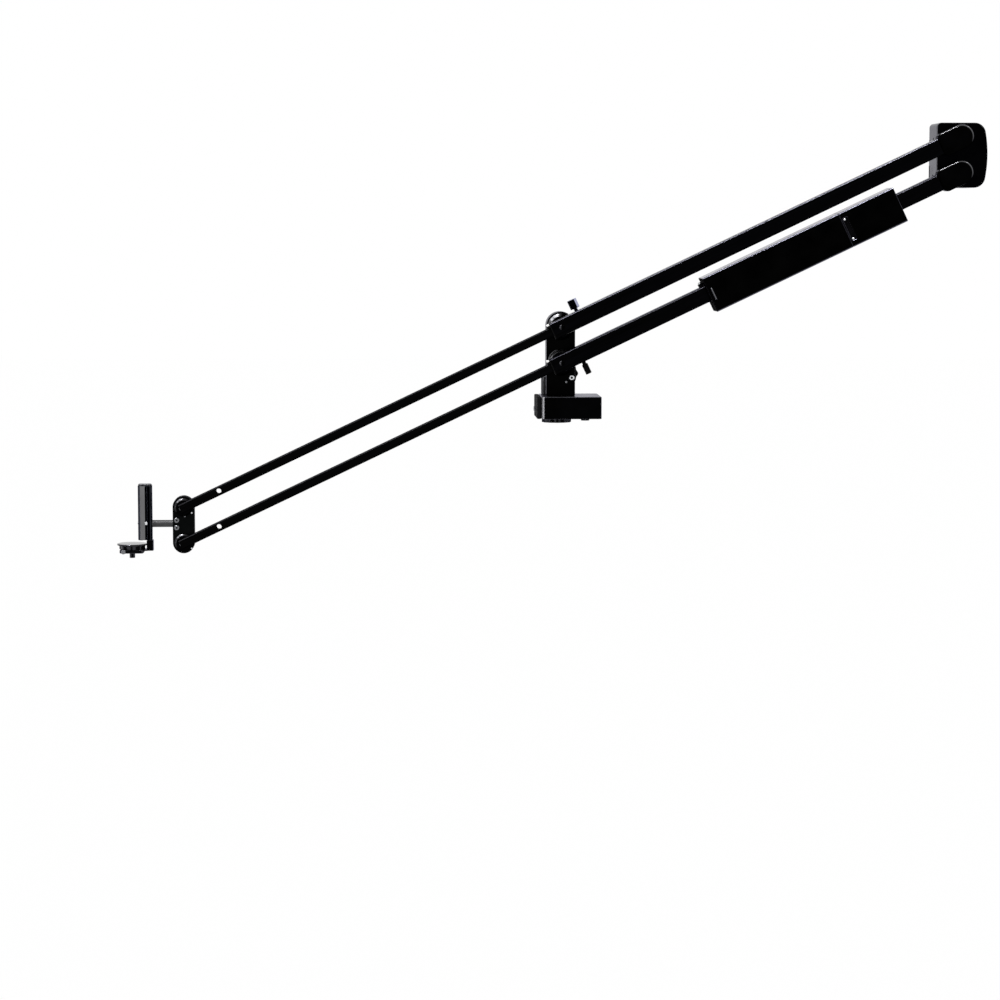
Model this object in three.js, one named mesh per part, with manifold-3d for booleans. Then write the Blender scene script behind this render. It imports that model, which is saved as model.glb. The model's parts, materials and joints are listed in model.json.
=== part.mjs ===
// A camera jib crane: two parallel telescopic arms on a panning post, with a level head at each end.
// Millimetres. X runs along the arms to their rear end, Y away from the side that the arms hang on, Z up.
// The origin is the middle of the tripod disc's underside, on the pan axis.

import * as THREE from 'three';
import { mergeVertices } from 'three/addons/utils/BufferGeometryUtils.js';
import Module from 'manifold-3d';

const wasm = await Module();
wasm.setup();

// Gap between neighbouring pieces, and how far a cutting shape passes the face that it cuts.
const fit = 0.3;
const overrun = 1;

// The linkage: tilt at rest with the rear end up, and the distances between its pivots.
const linkage = {
  tiltDegrees: 25.4,
  frontLength: 703,
  rearLength: 741,
  pivotSpacing: 60,
  lowerPivotHeight: 101.9,
  setback: 6
};

// Outer tubes, from their mouths just before the post to the seam before the rear pivot.
const rearTube = { height: 28.2, width: 25, wall: 2.5, corner: 3.5, mouth: 16, seam: 40 };

// Inner tubes that slide in the outer ones: nose before the front pivot, tail behind the post pivot.
const frontTube = {
  height: 15.4,
  width: 14,
  wall: 2,
  corner: 2.4,
  nose: 5,
  tail: 108,
  plug: 24,
  crossHole: 8.5,
  crossHolePlace: 67
};

// Slide bushes: one in the mouth of each outer tube, one on the tail of each inner tube.
const mouthBush = { depth: 32, flange: 1.6 };
const tailBush = { length: 30 };

// Turned hub that carries each outer tube on the post, and the shouldered shaft that it turns on.
const hub = { radius: 22.5, step: 2, stepHeight: 3.4, thickness: 8, edge: 1.1 };
const pivotShaft = { radius: 6, headRadius: 10.5, headThickness: 2.6 };
const pivotBush = { wall: 2.7 };
const pivotCap = { radius: 4.6, height: 1.8, edge: 1.2, shank: 2.4 };

// Hub and shouldered pin at the front end of each inner tube.
const frontHub = { radius: 15.2, thickness: 7.5, edge: 1.2 };
const frontPin = { radius: 4, headRadius: 7, headThickness: 2.6 };

// Machined end lug of each outer tube, with its plug in the tube, and the pin of the rear head.
const knuckle = { radius: 19.8, flare: 6, plug: 16, edge: 2, boreDepth: 17 };
const rearPin = { radius: 6, flangeRadius: 10, flangeThickness: 4 };

// Post and the screws and blocks on it.
const post = { width: 48.5, thickness: 36, rise: 0.8, edge: 1.3 };
const footBlock = { left: 5.5, width: 25, depth: 27.5, height: 30.5, corner: 5, edge: 1 };
const postScrew = {
  radius: 2.6,
  depth: 10,
  headRadius: 4.6,
  headHeight: 2.4,
  ahead: 18.5,
  below: 25.9,
  socket: 2,
  socketDepth: 1.6
};
const tiltKnob = {
  radius: 18,
  lobes: 8,
  lobeDepth: 2,
  thickness: 15,
  hub: 9,
  hubHeight: 3,
  edge: 1.4,
  shank: 3,
  depth: 20,
  ahead: 14.4,
  below: 20.9
};

// Pan base: a shell open below, its floor, the end cap on its left end, and the fixed disc and spindle.
const base = { left: 28, right: 73, near: 52, far: 50, height: 37.2, wall: 3, corner: 5.5, edge: 1.2 };
const baseFloor = { thickness: 3.2 };
const floorScrew = { radius: 7.2, height: 3.4, shank: 2, place: 46.5, spread: 30 };
const endCap = { thickness: 7, corner: 4, edge: 1.5 };
const tripodDisc = { radius: 24.8, thickness: 7.7, lobes: 12, lobeDepth: 1.5, edge: 0.8, pocketDepth: 5 };
const spindle = { radius: 10, height: 32 };
const spindleNut = { radius: 15, height: 5 };
const bearing = { wall: 6, height: 7 };
const bearingBoss = { wall: 4, height: 9 };
const panLock = { radius: 4.4, height: 3, edge: 0.6, shank: 2.4, rise: 15 };

// Front head: plate, rod and its two clamp screws.
const frontPlate = { radius: 18.2, thickness: 20, edge: 0.8 };
const rod = { radius: 6, rise: 1.4, inPlate: 22, inColumn: 15, edge: 0.5 };
const clampScrew = {
  radius: 4.3,
  height: 1.8,
  edge: 0.5,
  shank: 1.9,
  shankLength: 2.6,
  setback: 11.3,
  spread: 6.25
};

// Grip column with two round lobes and a groove between them, and the bracket at its foot.
const column = {
  width: 23.8,
  depth: 21,
  corner: 6.5,
  grooveDepth: 2.6,
  grooveWidth: 7,
  place: 64.6,
  top: 96,
  foot: 4,
  edge: 0.8
};
const footBracket = {
  width: 14.4,
  depth: 17,
  overhang: 1.4,
  tongueWidth: 22,
  tongueThickness: 2.4,
  reach: 18,
  relief: 0.8,
  edge: 0.8
};

// Tie-down knob: a thin round plate over a lobed grip, with its stud.
const tieKnob = {
  radius: 25.3,
  rim: 3,
  edge: 0.7,
  gripRadius: 21.8,
  gripHeight: 6.2,
  gripEdge: 1.2,
  lobes: 8,
  lobeDepth: 3,
  place: 87,
  drop: 1.9,
  stud: 4.7,
  studReach: 9
};

// Seat under the knob, slotted for the bracket's tongue, and its lock screw.
const seat = { length: 40.4, width: 40, corner: 6, thickness: 5.9, edge: 1.4 };
const seatLock = { radius: 3.6, height: 4.6, edge: 0.6, shank: 1.5, shankLength: 7, inset: 7, rise: 3 };

// Rear head: near plate and the deep housing behind it, outlined from the lower rear pivot.
const rearHead = {
  front: 37.2,
  back: 45,
  above: 23.2,
  below: 25.4,
  smallCorner: 5,
  largeCorner: 19,
  bulge: 3.5
};
const rearPlate = { thickness: 6, edge: 1.2 };
const rearHousing = { depth: 66, wall: 3, edge: 1.2 };

// Counterweight on the lower outer tube: long case, end case, weight bars, and the clamp at its front.
const weight = {
  behind: 78.4,
  length: 251.5,
  endLength: 100.3,
  above: 27.8,
  below: 33.5,
  width: 60,
  wall: 3,
  edge: 2.6,
  handGroove: 21,
  grooveWidth: 1.6,
  grooveDepth: 1.2,
  groovePlace: 7.2
};
const weightBar = { gap: 0.8 };
const jointStrip = { length: 40, width: 8, thickness: 1.5, corner: 1.5, place: 6.4 };
const slideClamp = { length: 8, height: 5, width: 15, corner: 1.5 };
const slideScrew = { radius: 3.3, height: 2.6, edge: 0.5, shank: 1.6 };

// Lock screws through the outer tubes' walls: a turned block on the upper tube, a round grip under the lower.
const lock = { place: 34, stem: 2.5, neck: 4, neckRadius: 3.4 };
const lockBlock = { length: 14, width: 9.5, height: 16, corner: 1.2, edge: 0.6, turnDegrees: 33 };
const lockGrip = { radius: 5, height: 17.6, edge: 0.8, flutes: 8, fluteDepth: 0.5 };

// Counts of steps round a full circle, a small circle and a corner.
const ringSteps = 32;
const smallSteps = 16;
const cornerSteps = 2;
const lobeSteps = 4;
const bevelSteps = 1;

// Places that follow from the sizes above.
const tilt = THREE.MathUtils.degToRad(linkage.tiltDegrees);
const postNear = -post.thickness / 2;
const postFar = post.thickness / 2;
const hubFar = postNear - fit;
const hubNear = hubFar - hub.thickness;
const armFar = hubNear - fit;
const armY = armFar - rearTube.width / 2;
const upperPivotHeight = linkage.lowerPivotHeight + linkage.pivotSpacing;
const frontHubNear = armY + frontTube.width / 2 + fit;
const frontHubFar = frontHubNear + frontHub.thickness;
const frontPlateNear = frontHubFar + fit;
const frontPlateFar = frontPlateNear + frontPlate.thickness;
const frontPivotX = linkage.setback - linkage.frontLength * Math.cos(tilt);
const frontPivotZ = linkage.lowerPivotHeight - linkage.frontLength * Math.sin(tilt);
const rearPivotX = linkage.setback + linkage.rearLength * Math.cos(tilt);
const rearPivotZ = linkage.lowerPivotHeight + linkage.rearLength * Math.sin(tilt);
const rearPlateNear = armFar + fit;
const rearPlateFar = rearPlateNear + rearPlate.thickness;
const weightEnd = linkage.rearLength - rearTube.seam - weight.behind;
const weightSeam = weightEnd - weight.endLength - fit;
const weightStart = weightSeam - weight.length;
const baseBottom = tripodDisc.thickness + fit;
const baseTop = baseBottom + base.height;

const finishes = {
  anodised: { color: 0x0b0b0d, roughness: 0.32, metalness: 0.6 },
  plastic: { color: 0x101012, roughness: 0.5, metalness: 0 },
  steel: { color: 0x6d6f72, roughness: 0.35, metalness: 1 },
  bright: { color: 0xb9bcc0, roughness: 0.22, metalness: 1 },
  slider: { color: 0xd5d4cf, roughness: 0.55, metalness: 0 },
  ballast: { color: 0x3b3d40, roughness: 0.6, metalness: 1 }
};

function materialOf(finish) {
  return new THREE.MeshStandardMaterial(finishes[finish]);
}

// Adds one named piece to a group.
function add(group, name, finish, geometry) {
  const mesh = new THREE.Mesh(geometry, materialOf(finish));
  mesh.name = name;
  group.add(mesh);
}

function groupAt(x, y, z) {
  const group = new THREE.Group();
  group.position.set(x, y, z);
  return group;
}

// Booleans: a closed geometry becomes a solid, and a solid becomes a geometry again.
function solidOf(geometry) {
  const bare = geometry.clone();
  bare.deleteAttribute('normal');
  bare.deleteAttribute('uv');
  const merged = mergeVertices(bare);
  const mesh = new wasm.Mesh({
    numProp: 3,
    vertProperties: new Float32Array(merged.attributes.position.array),
    triVerts: new Uint32Array(merged.index.array)
  });
  return new wasm.Manifold(mesh);
}

function geometryOf(solid) {
  const mesh = solid.getMesh();
  const geometry = new THREE.BufferGeometry();
  geometry.setAttribute('position', new THREE.BufferAttribute(mesh.vertProperties, mesh.numProp));
  geometry.setIndex(new THREE.BufferAttribute(mesh.triVerts, 1));
  return geometry;
}

function cut(geometry, ...cutters) {
  let solid = solidOf(geometry);
  for (const cutter of cutters) {
    solid = solid.subtract(solidOf(cutter));
  }
  return geometryOf(solid);
}

function join(geometry, ...others) {
  let solid = solidOf(geometry);
  for (const other of others) {
    solid = solid.add(solidOf(other));
  }
  return geometryOf(solid);
}

// Flat outlines.
function roundedRect(left, bottom, right, top, corner) {
  const shape = new THREE.Shape();
  const quarter = Math.PI / 2;
  shape.absarc(right - corner, bottom + corner, corner, -quarter, 0, false);
  shape.absarc(right - corner, top - corner, corner, 0, quarter, false);
  shape.absarc(left + corner, top - corner, corner, quarter, 2 * quarter, false);
  shape.absarc(left + corner, bottom + corner, corner, 2 * quarter, 3 * quarter, false);
  shape.closePath();
  return shape;
}

function centredRect(width, height, corner) {
  return roundedRect(-width / 2, -height / 2, width / 2, height / 2, corner);
}

function polygon(points) {
  return new THREE.Shape(points.map(([x, y]) => new THREE.Vector2(x, y)));
}

// A round outline, with lobes round its rim where a count of them is given.
function roundOutline(radius, steps, lobes, lobeDepth) {
  const points = [];
  const count = lobes ? lobes * lobeSteps : steps;
  for (let i = 0; i < count; i += 1) {
    const angle = (i / count) * 2 * Math.PI;
    const dip = lobes ? (lobeDepth / 2) * (1 - Math.cos(lobes * angle)) : 0;
    points.push([(radius - dip) * Math.cos(angle), (radius - dip) * Math.sin(angle)]);
  }
  return polygon(points);
}

// Prisms: an outline given a length along one axis, from one place to another, with its edges bevelled.
function prism(shape, length, edge) {
  return new THREE.ExtrudeGeometry(shape, {
    depth: length - 2 * edge,
    bevelEnabled: edge > 0,
    bevelThickness: edge,
    bevelSize: edge,
    bevelOffset: -edge,
    bevelSegments: bevelSteps,
    curveSegments: cornerSteps
  }).translate(0, 0, edge);
}

function alongZ(shape, from, to, edge = 0) {
  return prism(shape, to - from, edge).translate(0, 0, from);
}

// The outline lies in X and Z.
function alongY(shape, from, to, edge = 0) {
  return prism(shape, to - from, edge).rotateX(Math.PI / 2).translate(0, to, 0);
}

// The outline lies in Y and Z.
function alongX(shape, from, to, edge = 0) {
  const turn = new THREE.Matrix4().makeBasis(
    new THREE.Vector3(0, 1, 0),
    new THREE.Vector3(0, 0, 1),
    new THREE.Vector3(1, 0, 0)
  );
  return prism(shape, to - from, edge).applyMatrix4(turn).translate(from, 0, 0);
}

function rodX(radius, from, to, y, z, edge = 0) {
  return alongX(roundOutline(radius, smallSteps), from, to, edge).translate(0, y, z);
}

function rodY(radius, from, to, x, z, edge = 0, steps = smallSteps) {
  return alongY(roundOutline(radius, steps), from, to, edge).translate(x, 0, z);
}

function rodZ(radius, from, to, x, y, edge = 0, steps = smallSteps) {
  return alongZ(roundOutline(radius, steps), from, to, edge).translate(x, y, 0);
}

function ringZ(inner, outer, from, to) {
  const shape = roundOutline(outer, ringSteps);
  shape.holes.push(roundOutline(inner, ringSteps));
  return alongZ(shape, from, to);
}

function ringY(inner, outer, from, to) {
  const shape = roundOutline(outer, ringSteps);
  shape.holes.push(roundOutline(inner, ringSteps));
  return alongY(shape, from, to);
}

// Fixed side: disc on the tripod, spindle up into the base, and the nut that holds the base down.
function buildFixedSide() {
  const group = new THREE.Group();
  const disc = alongZ(
    roundOutline(tripodDisc.radius, ringSteps, tripodDisc.lobes, tripodDisc.lobeDepth),
    0,
    tripodDisc.thickness,
    tripodDisc.edge
  );
  const pocketFloor = tripodDisc.thickness - tripodDisc.pocketDepth;
  const pocket = rodZ(spindle.radius + fit, pocketFloor, tripodDisc.thickness + overrun, 0, 0, 0, ringSteps);
  add(group, 'tripod_disc', 'anodised', cut(disc, pocket));
  const spindleFoot = pocketFloor + fit;
  const spindleTop = baseBottom + spindle.height;
  add(group, 'pan_spindle', 'steel', rodZ(spindle.radius, spindleFoot, spindleTop, 0, 0, 0, ringSteps));
  const nutFoot = baseBottom + fit + bearing.height + fit;
  const nut = ringZ(spindle.radius + fit, spindleNut.radius, nutFoot, nutFoot + spindleNut.height);
  add(group, 'spindle_nut', 'steel', nut);
  return group;
}

// Base of the turret: shell, floor with its screws, end cap and the two bearings.
function buildBase() {
  const group = new THREE.Group();
  const bearingOuter = spindle.radius + fit + bearing.wall;
  const outer = alongZ(
    roundedRect(-base.left, -base.near, base.right, base.far, base.corner),
    baseBottom,
    baseTop,
    base.edge
  );
  const room = alongZ(
    roundedRect(
      -base.left + base.wall,
      -base.near + base.wall,
      base.right - base.wall,
      base.far - base.wall,
      base.corner - base.wall
    ),
    baseBottom - overrun,
    baseTop - base.wall
  );
  const ceiling = baseTop - base.wall;
  const boss = ringZ(
    bearingOuter + fit,
    bearingOuter + fit + bearingBoss.wall,
    ceiling - bearingBoss.height,
    ceiling + base.wall / 2
  );
  const panLockHeight = baseBottom + panLock.rise;
  const wallEnd = -base.left + base.wall + overrun;
  const lockHole = rodX(panLock.shank + fit, -base.left - overrun, wallEnd, 0, panLockHeight);
  add(group, 'base_housing', 'anodised', cut(join(cut(outer, room), boss), lockHole));

  const inset = base.wall + fit;
  const floorFoot = baseBottom + fit;
  const floorTop = floorFoot + baseFloor.thickness;
  const floor = alongZ(
    roundedRect(-base.left + inset, -base.near + inset, base.right - inset, base.far - inset, base.corner - base.wall),
    floorFoot,
    floorTop
  );
  const cup = ringZ(bearingOuter + fit, bearingOuter + fit + bearingBoss.wall, floorFoot, floorFoot + bearing.height);
  const floorBore = rodZ(bearingOuter + fit, floorFoot - overrun, floorTop + overrun, 0, 0, 0, ringSteps);
  const screwHoles = [-1, 1].map((side) =>
    rodZ(floorScrew.shank + fit, floorFoot - overrun, floorTop + overrun, floorScrew.place, side * floorScrew.spread)
  );
  add(group, 'base_floor', 'anodised', cut(join(cut(floor, floorBore), cup), ...screwHoles));

  for (const [name, side] of [['floor_screw_near', -1], ['floor_screw_far', 1]]) {
    const y = side * floorScrew.spread;
    const head = rodZ(floorScrew.radius, floorFoot - fit - floorScrew.height, floorFoot - fit, floorScrew.place, y);
    const shank = rodZ(floorScrew.shank, floorFoot - fit - fit, floorTop, floorScrew.place, y);
    add(group, name, 'plastic', join(head, shank));
  }

  const capPlate = alongX(
    roundedRect(
      -base.near + base.corner,
      baseBottom,
      base.far - base.corner,
      baseTop,
      endCap.corner
    ),
    -base.left - fit - endCap.thickness,
    -base.left - fit,
    endCap.edge
  );
  const capHole = rodX(
    panLock.shank + fit,
    -base.left - endCap.thickness - overrun,
    -base.left + overrun,
    0,
    panLockHeight
  );
  add(group, 'base_end_cap', 'plastic', cut(capPlate, capHole));

  for (const [name, foot] of [
    ['pan_bearing_lower', floorFoot],
    ['pan_bearing_upper', ceiling - fit - bearing.height]
  ]) {
    add(group, name, 'steel', ringZ(spindle.radius + fit, bearingOuter, foot, foot + bearing.height));
  }

  const screwFace = -base.left - fit - endCap.thickness - fit;
  const lockHead = rodX(panLock.radius, screwFace - panLock.height, screwFace, 0, panLockHeight, panLock.edge);
  const lockShank = rodX(panLock.shank, screwFace - fit, -spindle.radius - fit, 0, panLockHeight);
  add(group, 'pan_lock_screw', 'steel', join(lockHead, lockShank));
  return group;
}

// Post with its fixed shafts, the block behind its foot, the near face's screw and the tilt lock behind.
function buildPost() {
  const group = new THREE.Group();
  const half = post.width / 2;
  const shape = new THREE.Shape();
  shape.moveTo(linkage.setback - half, baseTop + fit);
  shape.lineTo(linkage.setback + half, baseTop + fit);
  shape.absarc(linkage.setback, upperPivotHeight + post.rise, half, 0, Math.PI, false);
  shape.closePath();
  const screwX = linkage.setback + postScrew.ahead;
  const screwZ = linkage.lowerPivotHeight - postScrew.below;
  const knobX = linkage.setback + tiltKnob.ahead;
  const knobZ = linkage.lowerPivotHeight - tiltKnob.below;
  const from = postNear - overrun;
  const to = postFar + overrun;
  const body = cut(
    alongY(shape, postNear, postFar, post.edge),
    rodY(pivotShaft.radius + fit, from, to, linkage.setback, linkage.lowerPivotHeight, 0, ringSteps),
    rodY(pivotShaft.radius + fit, from, to, linkage.setback, upperPivotHeight, 0, ringSteps),
    rodY(postScrew.radius + fit, from, postNear + postScrew.depth + fit, screwX, screwZ),
    rodY(tiltKnob.shank + fit, postFar - tiltKnob.depth - fit, to, knobX, knobZ)
  );
  add(group, 'post', 'anodised', body);

  const blockLeft = linkage.setback - half - footBlock.left;
  const blockNear = postFar + fit;
  const block = alongZ(
    roundedRect(blockLeft, blockNear, blockLeft + footBlock.width, blockNear + footBlock.depth, footBlock.corner),
    baseTop + fit,
    baseTop + fit + footBlock.height,
    footBlock.edge
  );
  add(group, 'post_foot_block', 'anodised', block);

  const headFar = hubNear + hub.stepHeight - fit;
  for (const [name, z] of [['lower_pivot_shaft', linkage.lowerPivotHeight], ['upper_pivot_shaft', upperPivotHeight]]) {
    const head = rodY(
      pivotShaft.headRadius,
      headFar - pivotShaft.headThickness,
      headFar,
      linkage.setback,
      z,
      0,
      ringSteps
    );
    const shank = rodY(pivotShaft.radius, headFar - fit, postFar, linkage.setback, z, 0, ringSteps);
    add(group, name, 'steel', join(head, shank));
  }

  const screwFace = postNear - fit;
  const screwHead = rodY(postScrew.headRadius, screwFace - postScrew.headHeight, screwFace, screwX, screwZ);
  const screwSocket = rodY(
    postScrew.socket,
    screwFace - postScrew.headHeight - overrun,
    screwFace - postScrew.headHeight + postScrew.socketDepth,
    screwX,
    screwZ
  );
  const screwShank = rodY(postScrew.radius, screwFace - fit, postNear + postScrew.depth, screwX, screwZ);
  add(group, 'tilt_clamp_bolt', 'bright', cut(join(screwHead, screwShank), screwSocket));

  const knobNear = postFar + fit;
  const knobGrip = alongY(
    roundOutline(tiltKnob.radius, ringSteps, tiltKnob.lobes, tiltKnob.lobeDepth),
    knobNear + tiltKnob.hubHeight,
    knobNear + tiltKnob.thickness,
    tiltKnob.edge
  ).translate(knobX, 0, knobZ);
  const knobHub = rodY(
    tiltKnob.hub,
    knobNear,
    knobNear + tiltKnob.hubHeight + tiltKnob.edge,
    knobX,
    knobZ,
    0,
    ringSteps
  );
  const knobShank = rodY(tiltKnob.shank, postFar - tiltKnob.depth, knobNear + fit, knobX, knobZ);
  add(group, 'tilt_lock_knob', 'plastic', join(knobGrip, knobHub, knobShank));
  return group;
}

// Outer tube with rounded corners, in its arm's own frame: X along the tube from the post pivot.
function outerTube(lockSide) {
  const shape = centredRect(rearTube.width, rearTube.height, rearTube.corner);
  shape.holes.push(
    centredRect(
      rearTube.width - 2 * rearTube.wall,
      rearTube.height - 2 * rearTube.wall,
      rearTube.corner - rearTube.wall
    )
  );
  const nearFace = -rearTube.width / 2;
  const capHole = rodY(pivotCap.shank + fit, nearFace - overrun, nearFace + rearTube.wall + overrun, 0, 0);
  const wallOuter = rearTube.height / 2;
  const lockHole = rodZ(
    lock.stem + fit,
    Math.min(lockSide * (wallOuter + overrun), lockSide * (wallOuter - rearTube.wall - overrun)),
    Math.max(lockSide * (wallOuter + overrun), lockSide * (wallOuter - rearTube.wall - overrun)),
    lock.place,
    0
  );
  return cut(alongX(shape, -rearTube.mouth, linkage.rearLength - rearTube.seam), capHole, lockHole);
}

// Hub of an outer tube: stepped disc with a pocket for the shaft's head and a bore for the bush.
function tubeHub() {
  const near = rearTube.width / 2 + fit;
  const far = near + hub.thickness;
  const rim = rodY(hub.radius, near + hub.stepHeight, far, 0, 0, hub.edge, ringSteps);
  const face = rodY(hub.radius - hub.step, near, far - hub.edge, 0, 0, hub.edge, ringSteps);
  const pocket = rodY(pivotShaft.headRadius + fit, near - overrun, near + hub.stepHeight, 0, 0, 0, ringSteps);
  const boreRadius = pivotShaft.radius + fit + pivotBush.wall + fit;
  const bore = rodY(boreRadius, near - overrun, far + overrun, 0, 0, 0, ringSteps);
  return cut(join(rim, face), pocket, bore);
}

function tubeHubBush() {
  const near = rearTube.width / 2 + fit + hub.stepHeight;
  const far = rearTube.width / 2 + fit + hub.thickness;
  return ringY(pivotShaft.radius + fit, pivotShaft.radius + fit + pivotBush.wall, near, far);
}

// Domed cap in the near wall at the pivot.
function nearCap() {
  const face = -rearTube.width / 2 - fit;
  const dome = rodY(pivotCap.radius, face - pivotCap.height, face, 0, 0, 0, smallSteps);
  const crown = rodY(
    pivotCap.radius - pivotCap.edge,
    face - pivotCap.height - pivotCap.edge / 2,
    face,
    0,
    0,
    pivotCap.edge / 2,
    smallSteps
  );
  const shank = rodY(pivotCap.shank, face - fit, face + fit + rearTube.wall, 0, 0);
  return join(dome, crown, shank);
}

function boreOfOuterTube(trim) {
  return centredRect(
    rearTube.width - 2 * rearTube.wall - 2 * trim,
    rearTube.height - 2 * rearTube.wall - 2 * trim,
    rearTube.corner - rearTube.wall
  );
}

// Slide bush in the mouth of an outer tube, with a thin flange over the tube's end.
function mouthSlideBush() {
  const passage = centredRect(frontTube.width + 2 * fit, frontTube.height + 2 * fit, frontTube.corner);
  const sleeveShape = boreOfOuterTube(fit);
  sleeveShape.holes.push(passage);
  const flangeShape = centredRect(rearTube.width, rearTube.height, rearTube.corner);
  flangeShape.holes.push(passage);
  const face = -rearTube.mouth - fit;
  const sleeve = alongX(sleeveShape, face - mouthBush.flange / 2, -rearTube.mouth + mouthBush.depth);
  const flange = alongX(flangeShape, face - mouthBush.flange, face);
  return join(sleeve, flange);
}

function tailSlideBush() {
  const shape = boreOfOuterTube(fit);
  shape.holes.push(centredRect(frontTube.width + 2 * fit, frontTube.height + 2 * fit, frontTube.corner));
  return alongX(shape, frontTube.tail - tailBush.length, frontTube.tail);
}

// Inner tube: hollow but for a bonded plug round the front pivot, with a cross hole behind it.
function innerTube() {
  const nose = -linkage.frontLength - frontTube.nose;
  const hollow = centredRect(
    frontTube.width - 2 * frontTube.wall,
    frontTube.height - 2 * frontTube.wall,
    frontTube.corner - frontTube.wall
  );
  const body = alongX(centredRect(frontTube.width, frontTube.height, frontTube.corner), nose, frontTube.tail);
  const room = alongX(hollow, nose + frontTube.plug, frontTube.tail + overrun);
  const reach = frontTube.width / 2 + overrun;
  const hole = rodY(frontTube.crossHole / 2, -reach, reach, frontTube.crossHolePlace - linkage.frontLength, 0);
  return cut(body, room, hole);
}

// Hub on the back of an inner tube at the front pivot.
function innerTubeHub() {
  const near = frontTube.width / 2 + fit;
  const far = near + frontHub.thickness;
  const disc = rodY(frontHub.radius, near, far, 0, 0, frontHub.edge, ringSteps);
  const pocketFloor = near + frontPin.headThickness + 2 * fit;
  const pocket = rodY(frontPin.headRadius + fit, near - overrun, pocketFloor, 0, 0, 0, ringSteps);
  const bore = rodY(frontPin.radius + fit, near - overrun, far + overrun, 0, 0, 0, ringSteps);
  return cut(disc, pocket, bore).translate(-linkage.frontLength, 0, 0);
}

// End lug of an outer tube: flares from the tube to a round end about the rear pivot.
function endKnuckle() {
  const start = linkage.rearLength - rearTube.seam + fit;
  const half = rearTube.height / 2;
  const shape = new THREE.Shape();
  shape.moveTo(start, -half);
  shape.lineTo(start + knuckle.flare, -knuckle.radius);
  shape.absarc(linkage.rearLength, 0, knuckle.radius, -Math.PI / 2, Math.PI / 2, false);
  shape.lineTo(start + knuckle.flare, knuckle.radius);
  shape.lineTo(start, half);
  shape.closePath();
  const lug = new THREE.ExtrudeGeometry(shape, {
    depth: rearTube.width - 2 * knuckle.edge,
    bevelThickness: knuckle.edge,
    bevelSize: knuckle.edge,
    bevelOffset: -knuckle.edge,
    bevelSegments: bevelSteps,
    curveSegments: ringSteps / 4
  })
    .translate(0, 0, knuckle.edge)
    .rotateX(Math.PI / 2)
    .translate(0, rearTube.width / 2, 0);
  const plug = alongX(boreOfOuterTube(fit), start - knuckle.plug, start + 2 * knuckle.edge);
  const back = rearTube.width / 2;
  const bore = rodY(
    rearPin.radius + fit,
    back - knuckle.boreDepth,
    back + overrun,
    linkage.rearLength,
    0,
    0,
    ringSteps
  );
  return cut(join(lug, plug), bore);
}

// Upper lock: a turned block on a neck, its stem just over the inner tube.
function blockLock() {
  const wall = rearTube.height / 2;
  const neckFoot = wall + fit;
  const blockFoot = neckFoot + lock.neck;
  const stem = rodZ(lock.stem, frontTube.height / 2 + fit, neckFoot + lock.neck / 2, lock.place, 0);
  const neck = rodZ(lock.neckRadius, neckFoot, blockFoot + lockBlock.edge, lock.place, 0);
  const block = alongZ(
    centredRect(lockBlock.length, lockBlock.width, lockBlock.corner),
    blockFoot,
    blockFoot + lockBlock.height,
    lockBlock.edge
  )
    .rotateZ(THREE.MathUtils.degToRad(lockBlock.turnDegrees))
    .translate(lock.place, 0, 0);
  return join(stem, neck, block);
}

// Lower lock: a fluted round grip under the tube.
function gripLock() {
  const wall = -rearTube.height / 2;
  const neckTop = wall - fit;
  const gripTop = neckTop - lock.neck;
  const stem = rodZ(lock.stem, neckTop - lock.neck / 2, -frontTube.height / 2 - fit, lock.place, 0);
  const neck = rodZ(lock.neckRadius, gripTop - lockGrip.edge, neckTop, lock.place, 0);
  const grip = alongZ(
    roundOutline(lockGrip.radius, smallSteps, lockGrip.flutes, lockGrip.fluteDepth),
    gripTop - lockGrip.height,
    gripTop,
    lockGrip.edge
  ).translate(lock.place, 0, 0);
  return join(stem, neck, grip);
}

// One arm, upper or lower, about its own post pivot.
function buildArm(level, pivotHeight) {
  const arm = groupAt(linkage.setback, armY, pivotHeight);
  arm.rotation.y = -tilt;
  const lockSide = level === 'upper' ? 1 : -1;
  add(arm, `${level}_rear_tube`, 'anodised', outerTube(lockSide));
  add(arm, `${level}_hub`, 'anodised', tubeHub());
  add(arm, `${level}_hub_bush`, 'bright', tubeHubBush());
  add(arm, `${level}_pivot_cap`, 'steel', nearCap());
  add(arm, `${level}_mouth_bush`, 'slider', mouthSlideBush());
  add(arm, `${level}_knuckle`, 'anodised', endKnuckle());
  add(arm, `${level}_front_tube`, 'anodised', innerTube());
  add(arm, `${level}_tail_bush`, 'slider', tailSlideBush());
  add(arm, `${level}_front_hub`, 'anodised', innerTubeHub());
  add(arm, `${level}_lock_knob`, 'plastic', level === 'upper' ? blockLock() : gripLock());
  return arm;
}

// Case section of the counterweight, hollow, with the tube's passage through its ends.
function caseSection(from, to) {
  const halfWidth = weight.width / 2;
  const outerShape = roundedRect(-halfWidth, -weight.below, halfWidth, weight.above, weight.edge);
  const innerShape = roundedRect(
    -halfWidth + weight.wall,
    -weight.below + weight.wall,
    halfWidth - weight.wall,
    weight.above - weight.wall,
    fit
  );
  const passageShape = centredRect(rearTube.width + 2 * fit, rearTube.height + 2 * fit, rearTube.corner);
  return cut(
    alongX(outerShape, from, to),
    alongX(innerShape, from + weight.wall, to - weight.wall),
    alongX(passageShape, from - overrun, to + overrun)
  );
}

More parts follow.
